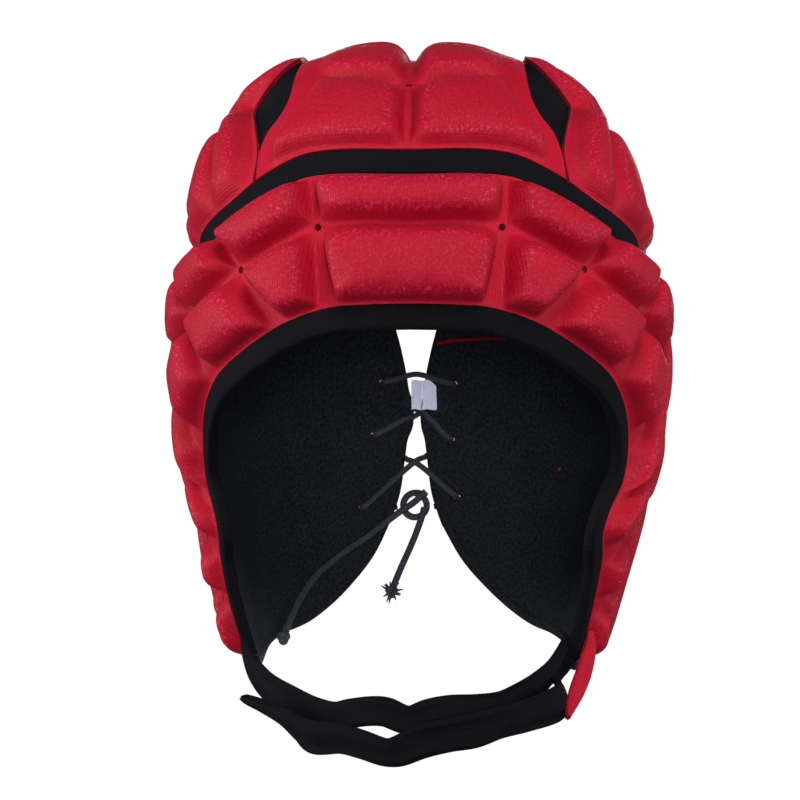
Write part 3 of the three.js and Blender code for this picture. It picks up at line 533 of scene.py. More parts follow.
def panel_grid(surface, columns, rows):
    """Fine lines of a panel, where its stations fall, and its inside face with the normals."""
    middle_row, middle_column = (rows[0] + rows[-1]) / 2, (columns[0] + columns[-1]) / 2

    def length(u, v):
        return lengths_along(on_head(unit(surface(u, v))))[-1]

    us, at_u = fine_lines(columns, lambda a, b: length(np.linspace(a, b, 9), np.full(9, middle_row)))
    vs, at_v = fine_lines(rows, lambda a, b: length(np.full(9, middle_column), np.linspace(a, b, 9)))
    u, v = np.meshgrid(us, vs, indexing="ij")
    direction = unit(surface(u, v))
    base = on_head(direction)
    return direction, base, head_normal(base), at_u, at_v


def lengths_over(sheet):
    """How far each point of a grid lies along its two lines."""
    return lengths_along(sheet), lengths_along(sheet.swapaxes(0, 1)).swapaxes(0, 1)


def pad_profile(inset, width, hold):
    """Rise over the side of a pad: a steep side, a soft shoulder and a nearly flat top."""
    return hold + (1 - hold) * (1 - (1 - np.clip(inset / width, 0, 1)) ** PAD_CURVE)


def pad_rises(
        wide, tall, at_u, at_v, margins, plain=(), row_hold=0.0, column_holds=None, shoulders=None,
        foot_taper=0.0, crisp=1.0):
    """How far each point has risen from the seams to the top of its pad, from 0 to 1."""
    rises = np.zeros(wide.shape)
    column_holds = column_holds or [0.0] * len(at_u)
    shoulders = shoulders or [PAD_SHOULDER] * (len(at_u) - 1)
    row_holds = [0.0, *[row_hold] * (len(at_v) - 2), 0.0]
    column_gaps = [margins[0], *[CHANNEL / 2] * (len(at_u) - 2), margins[1]]
    row_gaps = [margins[2], *[CHANNEL / 2] * (len(at_v) - 2), margins[3]]
    for k in range(len(at_u) - 1):
        for m in range(len(at_v) - 1):
            if k in plain:
                continue
            block = np.s_[at_u[k]:at_u[k + 1] + 1, at_v[m]:at_v[m + 1] + 1]
            s, t = wide[block], tall[block]
            taper = foot_taper * (t[:, -1:] - t) / (t[:, -1:] - t[:, :1]) if m == 0 else 0.0
            left, right = taper + column_gaps[k], taper + column_gaps[k + 1]
            low, high = row_gaps[m], row_gaps[m + 1]
            soft_x = np.minimum(shoulders[k], 0.48 * (s[-1:] - s[:1] - left - right))
            soft_y = np.minimum(shoulders[k], 0.48 * (t[:, -1:] - t[:, :1] - low - high))
            rise_x = np.minimum(
                pad_profile(s - s[:1] - left, soft_x, column_holds[k]),
                pad_profile(s[-1:] - s - right, soft_x, column_holds[k + 1]))
            rise_y = np.minimum(
                pad_profile(t - t[:, :1] - low, soft_y * crisp, row_holds[m]),
                pad_profile(t[:, -1:] - t - high, soft_y, row_holds[m + 1]))
            rises[block] = np.maximum(rises[block], rise_x * rise_y)
    return rises


def punch(sheets, centres, at, radius, ring=2, reach=6):
    """Draws the lines round a point into a ring of that radius on each sheet."""
    di, dj = np.meshgrid(*[np.arange(-reach, reach + 1)] * 2, indexing="ij")
    far = np.maximum(np.abs(di), np.abs(dj))[..., None]
    hold = np.clip((reach - far) / (reach - ring), 0, 1)
    for sheet, centre in zip(sheets, centres):
        block = sheet[at[0] - reach:at[0] + reach + 1, at[1] - reach:at[1] + reach + 1]
        arm = unit(block - sheet[at[0], at[1]])
        block += (centre + arm * radius * far / ring - block) * hold


def punch_all(sheets, direction, vents, eyelets, heights, eyelet_radius):
    """Punches vents where two lines cross and eyelets at their spots, and says where they are."""
    holes = list(vents)
    for i, j in vents:
        punch(sheets, [sheet[i, j].copy() for sheet in sheets], (i, j), VENT_DIAMETER / 2)
    for spot in eyelets:
        holes.append(np.unravel_index(np.argmax(direction @ spot), direction.shape[:2]))
        punch(sheets, [on_head(spot, height) for height in heights], holes[-1], eyelet_radius)
    return holes


def shell(outer, inner, cloth, holes, flip, ring=2):
    """Points and patches of a closed shell of two grids, with its rim and its holes."""
    shape = cloth.shape[:2]
    over = np.arange(shape[0] * shape[1]).reshape(shape)
    under = over + over.size
    keep = np.ones((shape[0] - 1, shape[1] - 1), bool)
    runs = [np.s_[::-1, 0], np.s_[:, -1], np.s_[0], np.s_[-1, ::-1]]
    for i, j in holes:
        keep[i - ring:i + ring, j - ring:j + ring] = False
        steps = np.arange(-ring, ring)
        full = np.full(2 * ring, ring)
        di = np.concatenate([full, -steps, -full, steps, [ring]]) + i
        dj = np.concatenate([steps, full, -steps, -full, [-ring]]) + j
        runs.append((di, dj))
    patches = []
    for numbers, turn in ((over, flip), (under, not flip)):
        faces, corners = grid_patch(numbers, cloth, flip=turn)
        patches.append((faces[keep.ravel()], corners[keep.ravel()]))
    for run in runs:
        pair = np.stack([under[run], over[run]], 1)
        patches.append(grid_patch(pair, np.stack([cloth[run], cloth[run]], 1), flip=flip))
    return np.concatenate([outer.reshape(-1, 3), inner.reshape(-1, 3)]), patches, ()


def swollen(points, held, flip):
    """The mesh pressed outwards by its pads: a short cloth simulation at ten times the size."""
    numbers = np.arange(held.size).reshape(held.shape)
    faces, _ = grid_patch(numbers, np.zeros((*held.shape, 2)), flip=flip)
    mesh = bpy.data.meshes.new("swelling")
    mesh.from_pydata((points.reshape(-1, 3) * 0.01).tolist(), [], faces.tolist())
    sheet = put_in_scene("swelling", mesh)
    grip = sheet.vertex_groups.new(name="grip")
    level = np.round(held.ravel() * GRIP_STEPS).astype(int)
    for step in range(1, GRIP_STEPS + 1):
        grip.add(np.flatnonzero(level == step).tolist(), step / GRIP_STEPS, "REPLACE")
    cloth = sheet.modifiers.new("swelling", "CLOTH")
    cloth.settings.vertex_group_mass = "grip"
    cloth.settings.mass = SWELL_MASS
    cloth.settings.effector_weights.gravity = 0
    cloth.settings.use_pressure = True
    cloth.settings.uniform_pressure_force = SWELL_PRESSURE
    cloth.point_cache.frame_end = SWELL_STEPS
    for step in range(1, SWELL_STEPS + 1):
        bpy.context.scene.frame_set(step)
    shape = sheet.evaluated_get(bpy.context.evaluated_depsgraph_get()).data
    spots = np.zeros(held.size * 3)
    shape.vertices.foreach_get("co", spots)
    bpy.context.scene.frame_set(1)
    bpy.data.objects.remove(sheet)
    bpy.data.meshes.remove(mesh)
    moved = spots.reshape(points.shape) * 100 - points
    far = np.linalg.norm(moved, axis=-1, keepdims=True)
    return points + moved * np.minimum(1, SWELL_LIMIT / np.maximum(far, 1e-9))


def quilted_panel(
        name, surface, columns, rows, crest, cloth_of, vents=(), eyelets=(), plain=(),
        margins=(SEAM_MARGIN,) * 4, lift=None, row_hold=0.0, column_holds=None, shoulders=None,
        foot_taper=0.0, crisp=1.0, flip=False):
    """A panel of red mesh over pads: closed, pressed flat in its channels, and punched."""
    direction, base, normal, at_u, at_v = panel_grid(surface, columns, rows)
    seam = base + normal * SEAM_TOP
    wide, tall = lengths_over(seam)
    rise = pad_rises(
        wide, tall, at_u, at_v, margins, plain, row_hold, column_holds, shoulders, foot_taper, crisp)
    crossings = [(at_u[k], at_v[m]) for k, m in vents]
    for i, j in crossings:
        far = np.linalg.norm(base - base[i, j], axis=-1)
        rise = rise * (1 - np.exp(-((far / VENT_STAR) ** 2)))
    if lift:
        rise = rise + (1 - rise) * lift(direction)
    top = crest(direction) + LUMP_HEIGHT * waves(base, LUMP_LENGTH, 0.8)
    top = top + DIMPLE_HEIGHT * waves(base, DIMPLE_LENGTH, 2.1)
    pucker = PUCKER_HEIGHT * np.exp(-((rise - PUCKER_AT) / PUCKER_REACH) ** 2)
    height = SEAM_TOP + (top - SEAM_TOP) * rise + pucker * waves(base, PUCKER_LENGTH, 1.1)
    outer = base + normal * height[..., None]
    held = np.clip(1.1 - 1.6 * rise, 0, 1)
    held[[0, -1]] = 1
    held[:, [0, -1]] = 1
    outer = swollen(outer, held, flip)
    inner = base + normal * PANEL_BASE
    holes = punch_all(
        (outer, inner), direction, crossings, eyelets, (SEAM_TOP, PANEL_BASE), EYELET_DIAMETER / 2)
    part = shell(outer, inner, cloth_of(direction, wide, tall), holes, flip)
    pressed = np.clip(1 - rise / PRESSED_BELOW, 0, 1).ravel()
    # Painted highlight: a mark for the glint painted on the pads' shoulders, where the lamps catch the
    # mesh.
    painted_glint = np.exp(-((rise - PAINTED_GLINT_AT) / PAINTED_GLINT_REACH) ** 2).ravel()
    marks = {"pressed": np.tile(pressed, 2), "painted_glint": np.tile(painted_glint, 2)}
    piece = make_piece(name, part, red_mesh, marks=marks)


# Warp knit: rows of looped yarn, with the lie of each loop slanting to either side.
knit_wales, given, put_out = new_group(
    "knit_wales",
    [("Cloth", "NodeSocketVector", None), ("Wale", "NodeSocketFloat", 0.00078),
     ("Course", "NodeSocketFloat", 0.00066), ("Waver", "NodeSocketFloat", 0.00025)],
    ["Relief", "Wale Line"])
tree = knit_wales
stray = add_node(tree, "ShaderNodeTexNoise", {"Vector": given["Cloth"], "Scale": 160.0, "Detail": 2.0})
split = add_node(tree, "ShaderNodeSeparateXYZ", {0: given["Cloth"]}).outputs
shift = scaled(tree, calc(tree, "SUBTRACT", stray.outputs[0], 0.5), given["Waver"])
across = calc(tree, "DIVIDE", scaled(tree, shift, 4.0, split[0]), given["Wale"])
off_middle = calc(tree, "ABSOLUTE", calc(tree, "SUBTRACT", calc(tree, "FRACT", across), 0.5))
ridge = calc(tree, "SUBTRACT", 1.0, scaled(tree, calc(tree, "POWER", off_middle, 2.0), 4.0))
slant = calc(tree, "ADD", calc(tree, "DIVIDE", split[1], given["Course"]), off_middle)
loop = scaled(tree, calc(tree, "SINE", scaled(tree, slant, 6.283)), 0.5, 0.5)
relief = scaled(tree, ridge, scaled(tree, loop, 0.5, 0.5))
tree.links.new(relief, put_out["Relief"])
tree.links.new(ridge, put_out["Wale Line"])

red_mesh, tree, shader, cloth = new_finish(
    "red_mesh", Specular_IOR_Level=0.14, Sheen_Weight=0.03, Sheen_Roughness=0.35,
    Sheen_Tint=(1, 0.5, 0.56, 1))
knit = use_group(tree, knit_wales, {"Cloth": cloth})
fuzz = fuzz_on(tree, cloth, 0.0011, 0.02)
pressed, painted_glint = (
    add_node(tree, "ShaderNodeAttribute", {}, attribute_name=mark).outputs["Fac"]
    for mark in ("pressed", "painted_glint"))
tone = scaled(tree, fuzz["Mottle"], 0.5, scaled(tree, knit["Wale Line"], 0.55))
tone = colours(tree, tone, MESH_DEEP, MESH_RED)
# Painted highlight: speckled glints lighten the red a little everywhere, and most on the pads' shoulders.
glint = scaled(tree, calc(tree, "SUBTRACT", fuzz["Specks"], 0.5), 4.2)
glint = scaled(tree, glint, scaled(tree, painted_glint, 0.75, 0.12))
glint = calc(tree, "MINIMUM", calc(tree, "MAXIMUM", glint, 0.0), 1.0)
tone = colours(tree, glint, tone, MESH_PAINTED_GLINT)
# The flat channels are painted lighter: partly the welded mesh itself, partly painted light where they face
# the lamps.
tone = colours(tree, scaled(tree, pressed, 0.3), tone, MESH_PRESSED_AND_LIT)
rough = scaled(tree, fuzz["Specks"], -0.25, 0.66)
lead_in(tree, shader, Base_Color=tone, Roughness=rough)
raise_relief(tree, shader, calc(tree, "ADD", knit["Relief"], fuzz["Specks"]), 0.00018, 0.6)


def turn_cloth(direction, wide, tall):
    """Wales that run straight down from the crown, as the brow and back are cut."""
    around = turn_of(direction)
    around = np.where(np.abs(around) > 120, around % 360, around)
    return np.stack([np.radians(around) * CLOTH_ROUND, np.arcsin(direction[..., 2]) * CLOTH_DOWN], -1)


def brow_crest(direction):
    """The pads over the brow stand highest, those down the cheeks are thinner."""
    up = np.clip((level_of(direction) - CHEEK_LEVEL) / (BROW_LEVEL - CHEEK_LEVEL), 0, 1)
    return CHEEK_CREST + (BROW_CREST - CHEEK_CREST) * up


brow_columns = [-7, -6.5, -5.9, -5, -4, -3, -2, -1, 1, 2, 3, 4, 5, 5.9, 6.5, 7]
brow_vents = [(k, 1) for k in (6, 7, 8, 9)]
quilted_panel(
    "brow_panel", brow_surface, brow_columns, [0, 1, 2], brow_crest, turn_cloth,
    vents=brow_vents, foot_taper=2.6, crisp=0.75,
    column_holds=[0, 0.25, 0.25, 0.25, 0.25, 0.2, 0, 0, 0, 0, 0.2, 0.25, 0.25, 0.25, 0.25, 0],
    shoulders=[9, 9, 10, 10, 10, 9, 7, 6.5, 7, 9, 10, 10, 10, 9, 9])

# Crown: a top panel of two pad columns and a panel of two pad rows on each side, of the same
# red mesh and foam, sewn edge to edge along the top and to the black band below.
CROWN_CREST, CROWN_RIM_CREST, CROWN_UPPER_CREST = 10.6, 10.8, 13.4
# The seam beside the top panel, as degrees back over the head and down to the side, and the
# front edge of the side panel along the slit, as degrees from the front and level.
CROWN_SEAM = [
    (41, 30.5), (50, 29.8), (54.5, 28.2), (57, 25), (60, 22.6), (66, 20.8), (78, 20.6), (95, 20.3),
    (125, 20), (150, 20.5), (166, 21)]
CROWN_SLIT = [
    (39.5, 36.6), (42, 41), (46, 44.5), (51, 48.8), (57.5, 52.3), (63.5, 55.1), (60.5, 57.3),
    (56.5, 59.3), (56.8, 62.5), (62.5, 66.4)]
CROWN_ROWS = [0, 0.5, 0.62, 0.717, 0.79, 0.876, 1]
CROWN_SIDE_COLUMNS = [0, 0.17, 0.4, 0.62, 0.82, 1]
CROWN_RIM_LEVEL, CROWN_UPPER_LEVEL = 38, 52
CROWN_FRONT_TIP, CROWN_SEAM_LIFT = 9.0, 0.85
LIFT_FRONT, LIFT_REAR, LIFT_WIDTH = (54, 68), (150, 120), 10
CROWN_FRONT_TURN, CROWN_SIDE_TURN, CROWN_REAR_TURN = 38.6, 136.0, 21.0
CROWN_FRONT_SET, CROWN_SLIT_TOP = 1.0, 0.6
CROWN_VENTS = [(1, 1), (1, 3)]
SIDES = (("left", -1), ("right", 1))


def aim_over(pitch, roll):
    p, r = np.radians(pitch), np.radians(roll)
    return np.stack([np.sin(r), -np.cos(r) * np.cos(p), np.cos(r) * np.sin(p)], -1)


def direction_run(table, aimed=aim):
    run = smooth_run(aimed(*np.array(table, float).T))
    return lambda t: unit(run(t))


def ramp(t):
    return np.maximum(t, 0)[..., None]


def patch_between(bottom, top, left, right):
    """A four-sided patch blended between its edges."""
    corners = [bottom(np.array(0.0)), bottom(np.array(1.0)), top(np.array(0.0)), top(np.array(1.0))]

    def patch(u, v):
        a, b = u[..., None], v[..., None]
        p = bottom(u) * (1 - b) + top(u) * b + left(v) * (1 - a) + right(v) * a
        p = p - corners[0] * (1 - a) * (1 - b) - corners[1] * a * (1 - b)
        return p - corners[2] * (1 - a) * b - corners[3] * a * b

    return patch


crown_seam_run = direction_run(CROWN_SEAM, aim_over)
crown_slit_run = direction_run(CROWN_SLIT)


def crown_seam(t):
    return crown_seam_run(0.004 + 0.992 * np.asarray(t, float))


crown_front_gap = band_edge(CROWN_FRONT_TURN, CROWN_FRONT_SET) - crown_seam(0)
crown_rear_gap = band_edge(180 - CROWN_REAR_TURN, 1) - crown_seam(1)


def crown_edge(v):
    return crown_seam(v) + crown_front_gap * ramp(1 - 5 * v) ** 2 + crown_rear_gap * ramp(5 * v - 4) ** 2


crown_centre_patch = patch_between(
    bottom=lambda u: band_edge(-CROWN_FRONT_TURN + 2 * CROWN_FRONT_TURN * u, CROWN_FRONT_SET),
    top=lambda u: band_edge(180 + CROWN_REAR_TURN - 2 * CROWN_REAR_TURN * u, 1),
    left=lambda v: mirrored(crown_edge(v), -1),
    right=crown_edge)


def crown_centre_surface(u, v):
    """The top panel, its front rows drawn towards the brow along the middle."""
    p = crown_centre_patch(u, v)
    swell = np.sin(np.pi * np.minimum(v / 0.8, 1))
    tip = np.radians(CROWN_FRONT_TIP * 4 * u * (1 - u)) * np.where(v < 0.4, swell, swell ** 2)
    c, s = np.cos(tip), np.sin(tip)
    return np.stack([p[..., 0], p[..., 1] * c - p[..., 2] * s, p[..., 2] * c + p[..., 1] * s], -1)


def crown_lift(direction):
    """How far the edges of the pads meet above the seam between the top and side panels."""
    pitch = np.degrees(np.arctan2(direction[..., 2], -direction[..., 1]))
    roll = np.degrees(np.arcsin(np.abs(direction[..., 0])))
    away = (roll - value_at(CROWN_SEAM, np.clip(pitch, CROWN_SEAM[0][0], CROWN_SEAM[-1][0]))) / LIFT_WIDTH
    front, rear = (np.clip((pitch - a) / (b - a), 0, 1) for a, b in (LIFT_FRONT, LIFT_REAR))
    return CROWN_SEAM_LIFT * front * front * (3 - 2 * front) * rear * np.exp(-away * away)


side_start = turn_of(crown_slit_run(0.0))


def side_low(u):
    return band_edge(side_start + (CROWN_SIDE_TURN - side_start) * u, 1)


def side_rear(v):
    return band_edge(CROWN_SIDE_TURN + (180 - CROWN_REAR_TURN - CROWN_SIDE_TURN) * v, 1)


def side_seam_top(u):
    end = side_rear(np.array(1.0)) - crown_seam(1)
    return crown_seam(CROWN_SLIT_TOP + (1 - CROWN_SLIT_TOP) * u) + end * ramp(5 * u - 4) ** 2


def slit_edge_front(v):
    foot = side_low(np.array(0.0)) - crown_slit_run(0.0)
    head = side_seam_top(np.array(0.0)) - crown_slit_run(1.0)
    return crown_slit_run(v) + foot * ramp(1 - 4 * v) ** 2 + head * ramp(4 * v - 3) ** 2


crown_side_patch = patch_between(bottom=side_low, top=side_seam_top, left=slit_edge_front, right=side_rear)


def crown_side_surface(side):
    return lambda u, v: mirrored(crown_side_patch(u, v), side)


quilted_panel(
    "crown_centre", crown_centre_surface, [0, 0.5, 1], CROWN_ROWS,
    lambda d: np.full(d.shape[:-1], CROWN_CREST), lambda d, wide, tall: np.stack([wide, tall], -1),
    vents=CROWN_VENTS, margins=(9.0, 9.0, SEAM_MARGIN, SEAM_MARGIN), lift=crown_lift, crisp=0.6,
    shoulders=[8.5, 8.5])


def side_crest(direction):
    """The upper row of pads stands higher than the row beside the band."""
    up = np.clip((level_of(direction) - CROWN_RIM_LEVEL) / (CROWN_UPPER_LEVEL - CROWN_RIM_LEVEL), 0, 1)
    return CROWN_RIM_CREST + (CROWN_UPPER_CREST - CROWN_RIM_CREST) * up


for name, side in SIDES:
    quilted_panel(
        f"crown_{name}", crown_side_surface(side), CROWN_SIDE_COLUMNS, [0, 0.5, 1], side_crest,
        lambda d, wide, tall: np.stack([tall, wide], -1),
        margins=(3.6, SEAM_MARGIN, 0.6, SEAM_MARGIN), lift=crown_lift, row_hold=0.5,
        column_holds=[0, 0.45, 0.45, 0.45, 0.45, 0], shoulders=[11] * 5, flip=side < 0)

# Back panels: the same quilted red mesh behind each ear, with pads in three columns and a flat
# margin along the rear slit, where the eyelets are punched.
BACK_CREST = 12.6
# The edges along the rear slit and the nape: degrees from the front and level.
SLIT_EDGE = [
    (171.4, -37.5), (173.9, -32), (175.2, -25), (176.3, -16), (176.3, -9), (175, -1), (172.6, 8.2)]
NAPE_EDGE = [
    (93, -63), (115, -60), (129, -57.6), (143, -55), (157, -49.8), (166, -44), (171.4, -37.5)]
BACK_COLUMNS = [0, 0.29, 0.56, 0.85, 1]
BACK_ROWS = [0, 0.44, 0.72, 1]
slit_run = direction_run(SLIT_EDGE)
nape_run = direction_run(NAPE_EDGE)
slit_head_turn = turn_of(slit_run(1.0))


def back_seam(v):
    return side_seam(1 - v)


def back_top(u):
    start = SEAM_TOP_TURN + FIT_GAP
    return band_edge(start + (slit_head_turn - start) * u, -1)


back_patch = patch_between(
    bottom=lambda u: nape_run(u) + (back_seam(np.array(0.0)) - nape_run(0.0)) * ramp(1 - 8 * u),
    top=back_top,
    left=lambda v: back_seam(v) + (back_top(np.array(0.0)) - back_seam(np.array(1.0))) * v[..., None],
    right=lambda v: slit_run(v) + (back_top(np.array(1.0)) - slit_run(1.0)) * ramp(4 * v - 3))


def back_surface(side):
    return lambda u, v: turned(mirrored(back_patch(u, v), side), SLIT_TURN * u * u)


def eyelet_spots(side):
    places = [eyelet_place(row, side) for row in range(len(EYELETS))]
    return [turned(aim(180 - side * turn, level), SLIT_TURN) for turn, level in places]


for name, side in SIDES:
    quilted_panel(
        f"back_{name}", back_surface(side), BACK_COLUMNS, BACK_ROWS,
        lambda d: np.full(d.shape[:-1], BACK_CREST), turn_cloth,
        vents=[(2, 1)], eyelets=eyelet_spots(side), plain=[3], flip=side < 0)

# Linings: a soft brushed black fleece inside every panel, glued to the back of the foam and
# turned in at the edges. It follows the pads only faintly, and shows in the face opening.
LINING_TOP = 1.2
LINING_DENT, LINING_LUMP, LINING_LUMP_LENGTH = 0.4, 0.3, 34
EYELET_SLACK = 0.3
FLEECE_BLACK = (0.0035, 0.004, 0.005, 1)
FLEECE_LIGHT = (0.031, 0.0345, 0.044, 1)
black_fleece, tree, shader, cloth = new_finish(
    "black_fleece", Sheen_Weight=0.03, Sheen_Roughness=0.6, Sheen_Tint=(0.7, 0.78, 1, 1),
    Specular_IOR_Level=0.12)
fuzz = fuzz_on(tree, cloth, 0.0013, 0.016)
flecks = scaled(tree, fuzz["Specks"], 2.2, -0.85)
share = scaled(tree, fuzz["Mottle"], 0.4, flecks)
share = calc(tree, "MINIMUM", calc(tree, "MAXIMUM", share, 0.0), 1.0)
rough = scaled(tree, fuzz["Specks"], 0.2, 0.75)
lead_in(tree, shader, Base_Color=colours(tree, share, FLEECE_BLACK, FLEECE_LIGHT), Roughness=rough)
raise_relief(tree, shader, scaled(tree, fuzz["Mottle"], 1.2, fuzz["Specks"]), 0.0005, 0.28)


def lining(name, surface, columns, rows, vents=(), eyelets=(), flip=False):
    direction, base, normal, at_u, at_v = panel_grid(surface, columns, rows)
    wide, tall = lengths_over(base)
    rise = pad_rises(wide, tall, at_u, at_v, (SEAM_MARGIN,) * 4)
    dent = LINING_DENT * np.clip(1 - 2 * rise, 0, 1) + LINING_LUMP * waves(base, LINING_LUMP_LENGTH, 3.3)
    edge = np.minimum(np.minimum(wide, wide[-1:] - wide), np.minimum(tall, tall[:, -1:] - tall))
    inner = base + normal * (dent * np.clip(edge / 6, 0, 1))[..., None]
    outer = base + normal * LINING_TOP
    crossings = [(at_u[k], at_v[m]) for k, m in vents]
    radius = EYELET_DIAMETER / 2 + EYELET_SLACK
    holes = punch_all((outer, inner), direction, crossings, eyelets, (LINING_TOP, 0.0), radius)
    part = shell(outer, inner, np.stack([wide, tall], -1), holes, flip)
    make_piece(name, part, black_fleece)


lining("brow_lining", brow_surface, brow_columns, [0, 1, 2], vents=brow_vents)
lining("crown_centre_lining", crown_centre_surface, [0, 0.5, 1], CROWN_ROWS, vents=CROWN_VENTS)
for name, side in SIDES:
    lining(f"crown_{name}_lining", crown_side_surface(side), CROWN_SIDE_COLUMNS, [0, 0.5, 1], flip=side < 0)
    lining(
        f"back_{name}_lining", back_surface(side), BACK_COLUMNS, BACK_ROWS,
        vents=[(2, 1)] if side > 0 else [], eyelets=eyelet_spots(side), flip=side < 0)

# Seam edge: the red mesh turned over the top of the right back panel shows as a thin line
# above its lining, where the fleece is sewn down a little short.
seam_line = even_run(on_head(aim(
    np.array([178.0, 174, 170, 166, 160]), np.array([2.5, 3.2, 3.5, 3.6, 3.7])), -0.2), 80)
seam_edge = cord_tube(seam_line, np.linspace(0.9, 0.45, 80))
make_piece("red_seam_edge", seam_edge, red_mesh, in_cad=False)

# Black band: a flat strip of close black knit round the whole head, sewn between the brow and
# back panels and the crown, a little sunk between their pads.
KNIT_BLACK = (0.0015, 0.0015, 0.0024, 1)
KNIT_LIGHT = (0.0055, 0.0056, 0.0085, 1)
black_knit, tree, shader, cloth = new_finish(
    "black_knit", Sheen_Weight=0.006, Sheen_Roughness=0.5, Sheen_Tint=(0.75, 0.8, 1, 1),
    Specular_IOR_Level=0.06)
knit = use_group(tree, knit_wales, {"Cloth": cloth, "Wale": 0.0009, "Course": 0.0007})
fuzz = fuzz_on(tree, cloth, 0.0007, 0.014)
share = scaled(tree, calc(tree, "ADD", knit["Relief"], fuzz["Mottle"]), 0.5)
rough = scaled(tree, fuzz["Specks"], 0.2, 0.65)
lead_in(tree, shader, Base_Color=colours(tree, share, KNIT_BLACK, KNIT_LIGHT), Roughness=rough)
raise_relief(tree, shader, calc(tree, "ADD", knit["Relief"], fuzz["Specks"]), 0.00025, 0.6)


def swept_strip(at, across, out, section, closed=False):
    """Points, patches and caps of a section swept along frames, its rows across and outwards."""
    a, o = section[..., 0], section[..., 1]
    points = at[:, None] + across[:, None] * a[..., None] + out[:, None] * o[..., None]
    count, sides = points.shape[:2]
    numbers = np.arange(count * sides).reshape(count, sides)
    measure = lengths_along(at)
    ring = np.broadcast_to(section, (count, sides, 2))[0]
    around = lengths_along(np.concatenate([ring, ring[:1]]))
    if closed:
        numbers = np.concatenate([numbers, numbers[:1]])
        measure = np.append(measure, measure[-1] + np.linalg.norm(at[0] - at[-1]))
    cloth = np.stack(np.broadcast_arrays(measure[:, None], around), -1)
    caps = [] if closed else [numbers[0], numbers[-1][::-1]]
    return points.reshape(-1, 3), [grid_patch(numbers, cloth, True, True)], caps


def soft_section(low, high, bottom, top, count=28, square=0.45):
    """A flat section with rounded edges, in order round it."""
    t = np.linspace(0, 2 * np.pi, count + 1)[:-1]
    way = np.stack([np.cos(t), np.sin(t)], -1)
    middle, half = np.array([low + high, bottom + top]) / 2, np.array([high - low, top - bottom]) / 2
    return middle + np.sign(way) * np.abs(way) ** square * half


at, across, out = head_frames(band_line, np.linspace(0, 360, 361)[:-1], 0.5)
half = BAND_WIDTH / 2 + 0.3
section = soft_section(-half, half, LINING_TOP, SEAM_TOP, 32, 0.3)
make_piece("crown_band", swept_strip(at, across, out, section, closed=True), black_knit)

# Slit gussets: thin black stretch knit behind the open slit at each front corner of the crown,
# sewn to the side panel and the top panel.
GUSSET_THICKNESS, GUSSET_FOOT, GUSSET_RISE, GUSSET_FALL, GUSSET_SAG = 0.5, 2.4, 9.6, 3, 6
for name, side in SIDES:
    v, w = np.meshgrid(np.linspace(0, 0.99, 60), np.linspace(-0.05, 1.05, 24), indexing="ij")
    direction = slit_edge_front(v) * (1 - w[..., None]) + crown_edge(v * CROWN_SLIT_TOP) * w[..., None]
    direction = unit(mirrored(direction, side))
    sheet = on_head(direction)
    normal = head_normal(sheet)
    sag = GUSSET_FOOT + (GUSSET_RISE - GUSSET_FALL * w) * crown_lift(direction)
    sag = (sag - GUSSET_SAG * w * (1 - w) * v + 0.2 * waves(sheet, 18, 1.4))[..., None]
    outer, inner = sheet + normal * sag, sheet + normal * (sag - GUSSET_THICKNESS)
    down, over = lengths_over(outer)
    part = shell(outer, inner, np.stack([down, over], -1), [], side > 0)
    gusset = make_piece(f"slit_gusset_{name}", part, black_knit, in_cad=False)

# Bindings: folded strips sewn over the raw edges: a wide one of the black knit round the face
# opening, and a narrow one of the fleece along the nape and up each side of the rear slit.
FACE_BINDING_WIDTH, FACE_BINDING_END = 9.0, 6.94
NAPE_BINDING_WIDTH = 3.4
SLIT_NARROW_LEVEL, SLIT_NARROW_REACH, SLIT_NARROW_LEFT, SLIT_NARROW_RIGHT = -14.5, 4.5, 2.0, 1.2
places = np.linspace(-FACE_BINDING_END, FACE_BINDING_END, 420)
at, across, out = head_frames(face_line, places, 0.05)
section = soft_section(-0.7, FACE_BINDING_WIDTH, -0.8, SEAM_TOP + 0.7, 32, 0.5)
make_piece("face_binding", swept_strip(at, across, out, section), black_knit)

for name, side in SIDES:
    surface = back_surface(side)

    def nape_line(t):
        t = np.asarray(t, float)
        flap = brow_surface(np.full(t.shape, 7.0 * side), 2 * (1 + np.minimum(t, 0)))
        nape = surface(np.clip(t, 0, 1), np.zeros(t.shape))
        slit = surface(np.ones(t.shape), np.clip(t - 1, 0, 1))
        return unit(np.where((t < 0)[..., None], flap, np.where((t < 1)[..., None], nape, slit)))

    places = np.concatenate([
        np.linspace(-0.6, -0.08, 24), np.linspace(0.06, 1, 110)[:-1], np.linspace(1, 1.98, 90)[3:]])
    at, across, out = head_frames(nape_line, places, 0.03)
    section = soft_section(-0.7, NAPE_BINDING_WIDTH, -0.6, SEAM_TOP + 0.5, 20, 0.6)
    section = np.repeat(section[None], len(at), 0)
    near = np.exp(-(((level_of(unit(at)) - SLIT_NARROW_LEVEL) / SLIT_NARROW_REACH) ** 4))
    closed = near * (SLIT_NARROW_LEFT if side < 0 else SLIT_NARROW_RIGHT)
    section[..., 0] *= 1 + (closed * (places > 1) / NAPE_BINDING_WIDTH)[:, None] * (section[..., 0] > 0)
    points, patches, caps = swept_strip(at, across * side, out, section)
    if side < 0:
        patches = [(faces[:, ::-1], cloth[:, ::-1]) for faces, cloth in patches]
        caps = [c[::-1] for c in caps]
    make_piece(f"nape_binding_{name}", (points, patches, caps), black_fleece)

# Chin strap: two soft doubled bands of the black knit, one sewn to each cheek flap, lapped
# across each other under the chin and pressed together. They are creased along their length.
STRAP_THICKNESS = 2.2
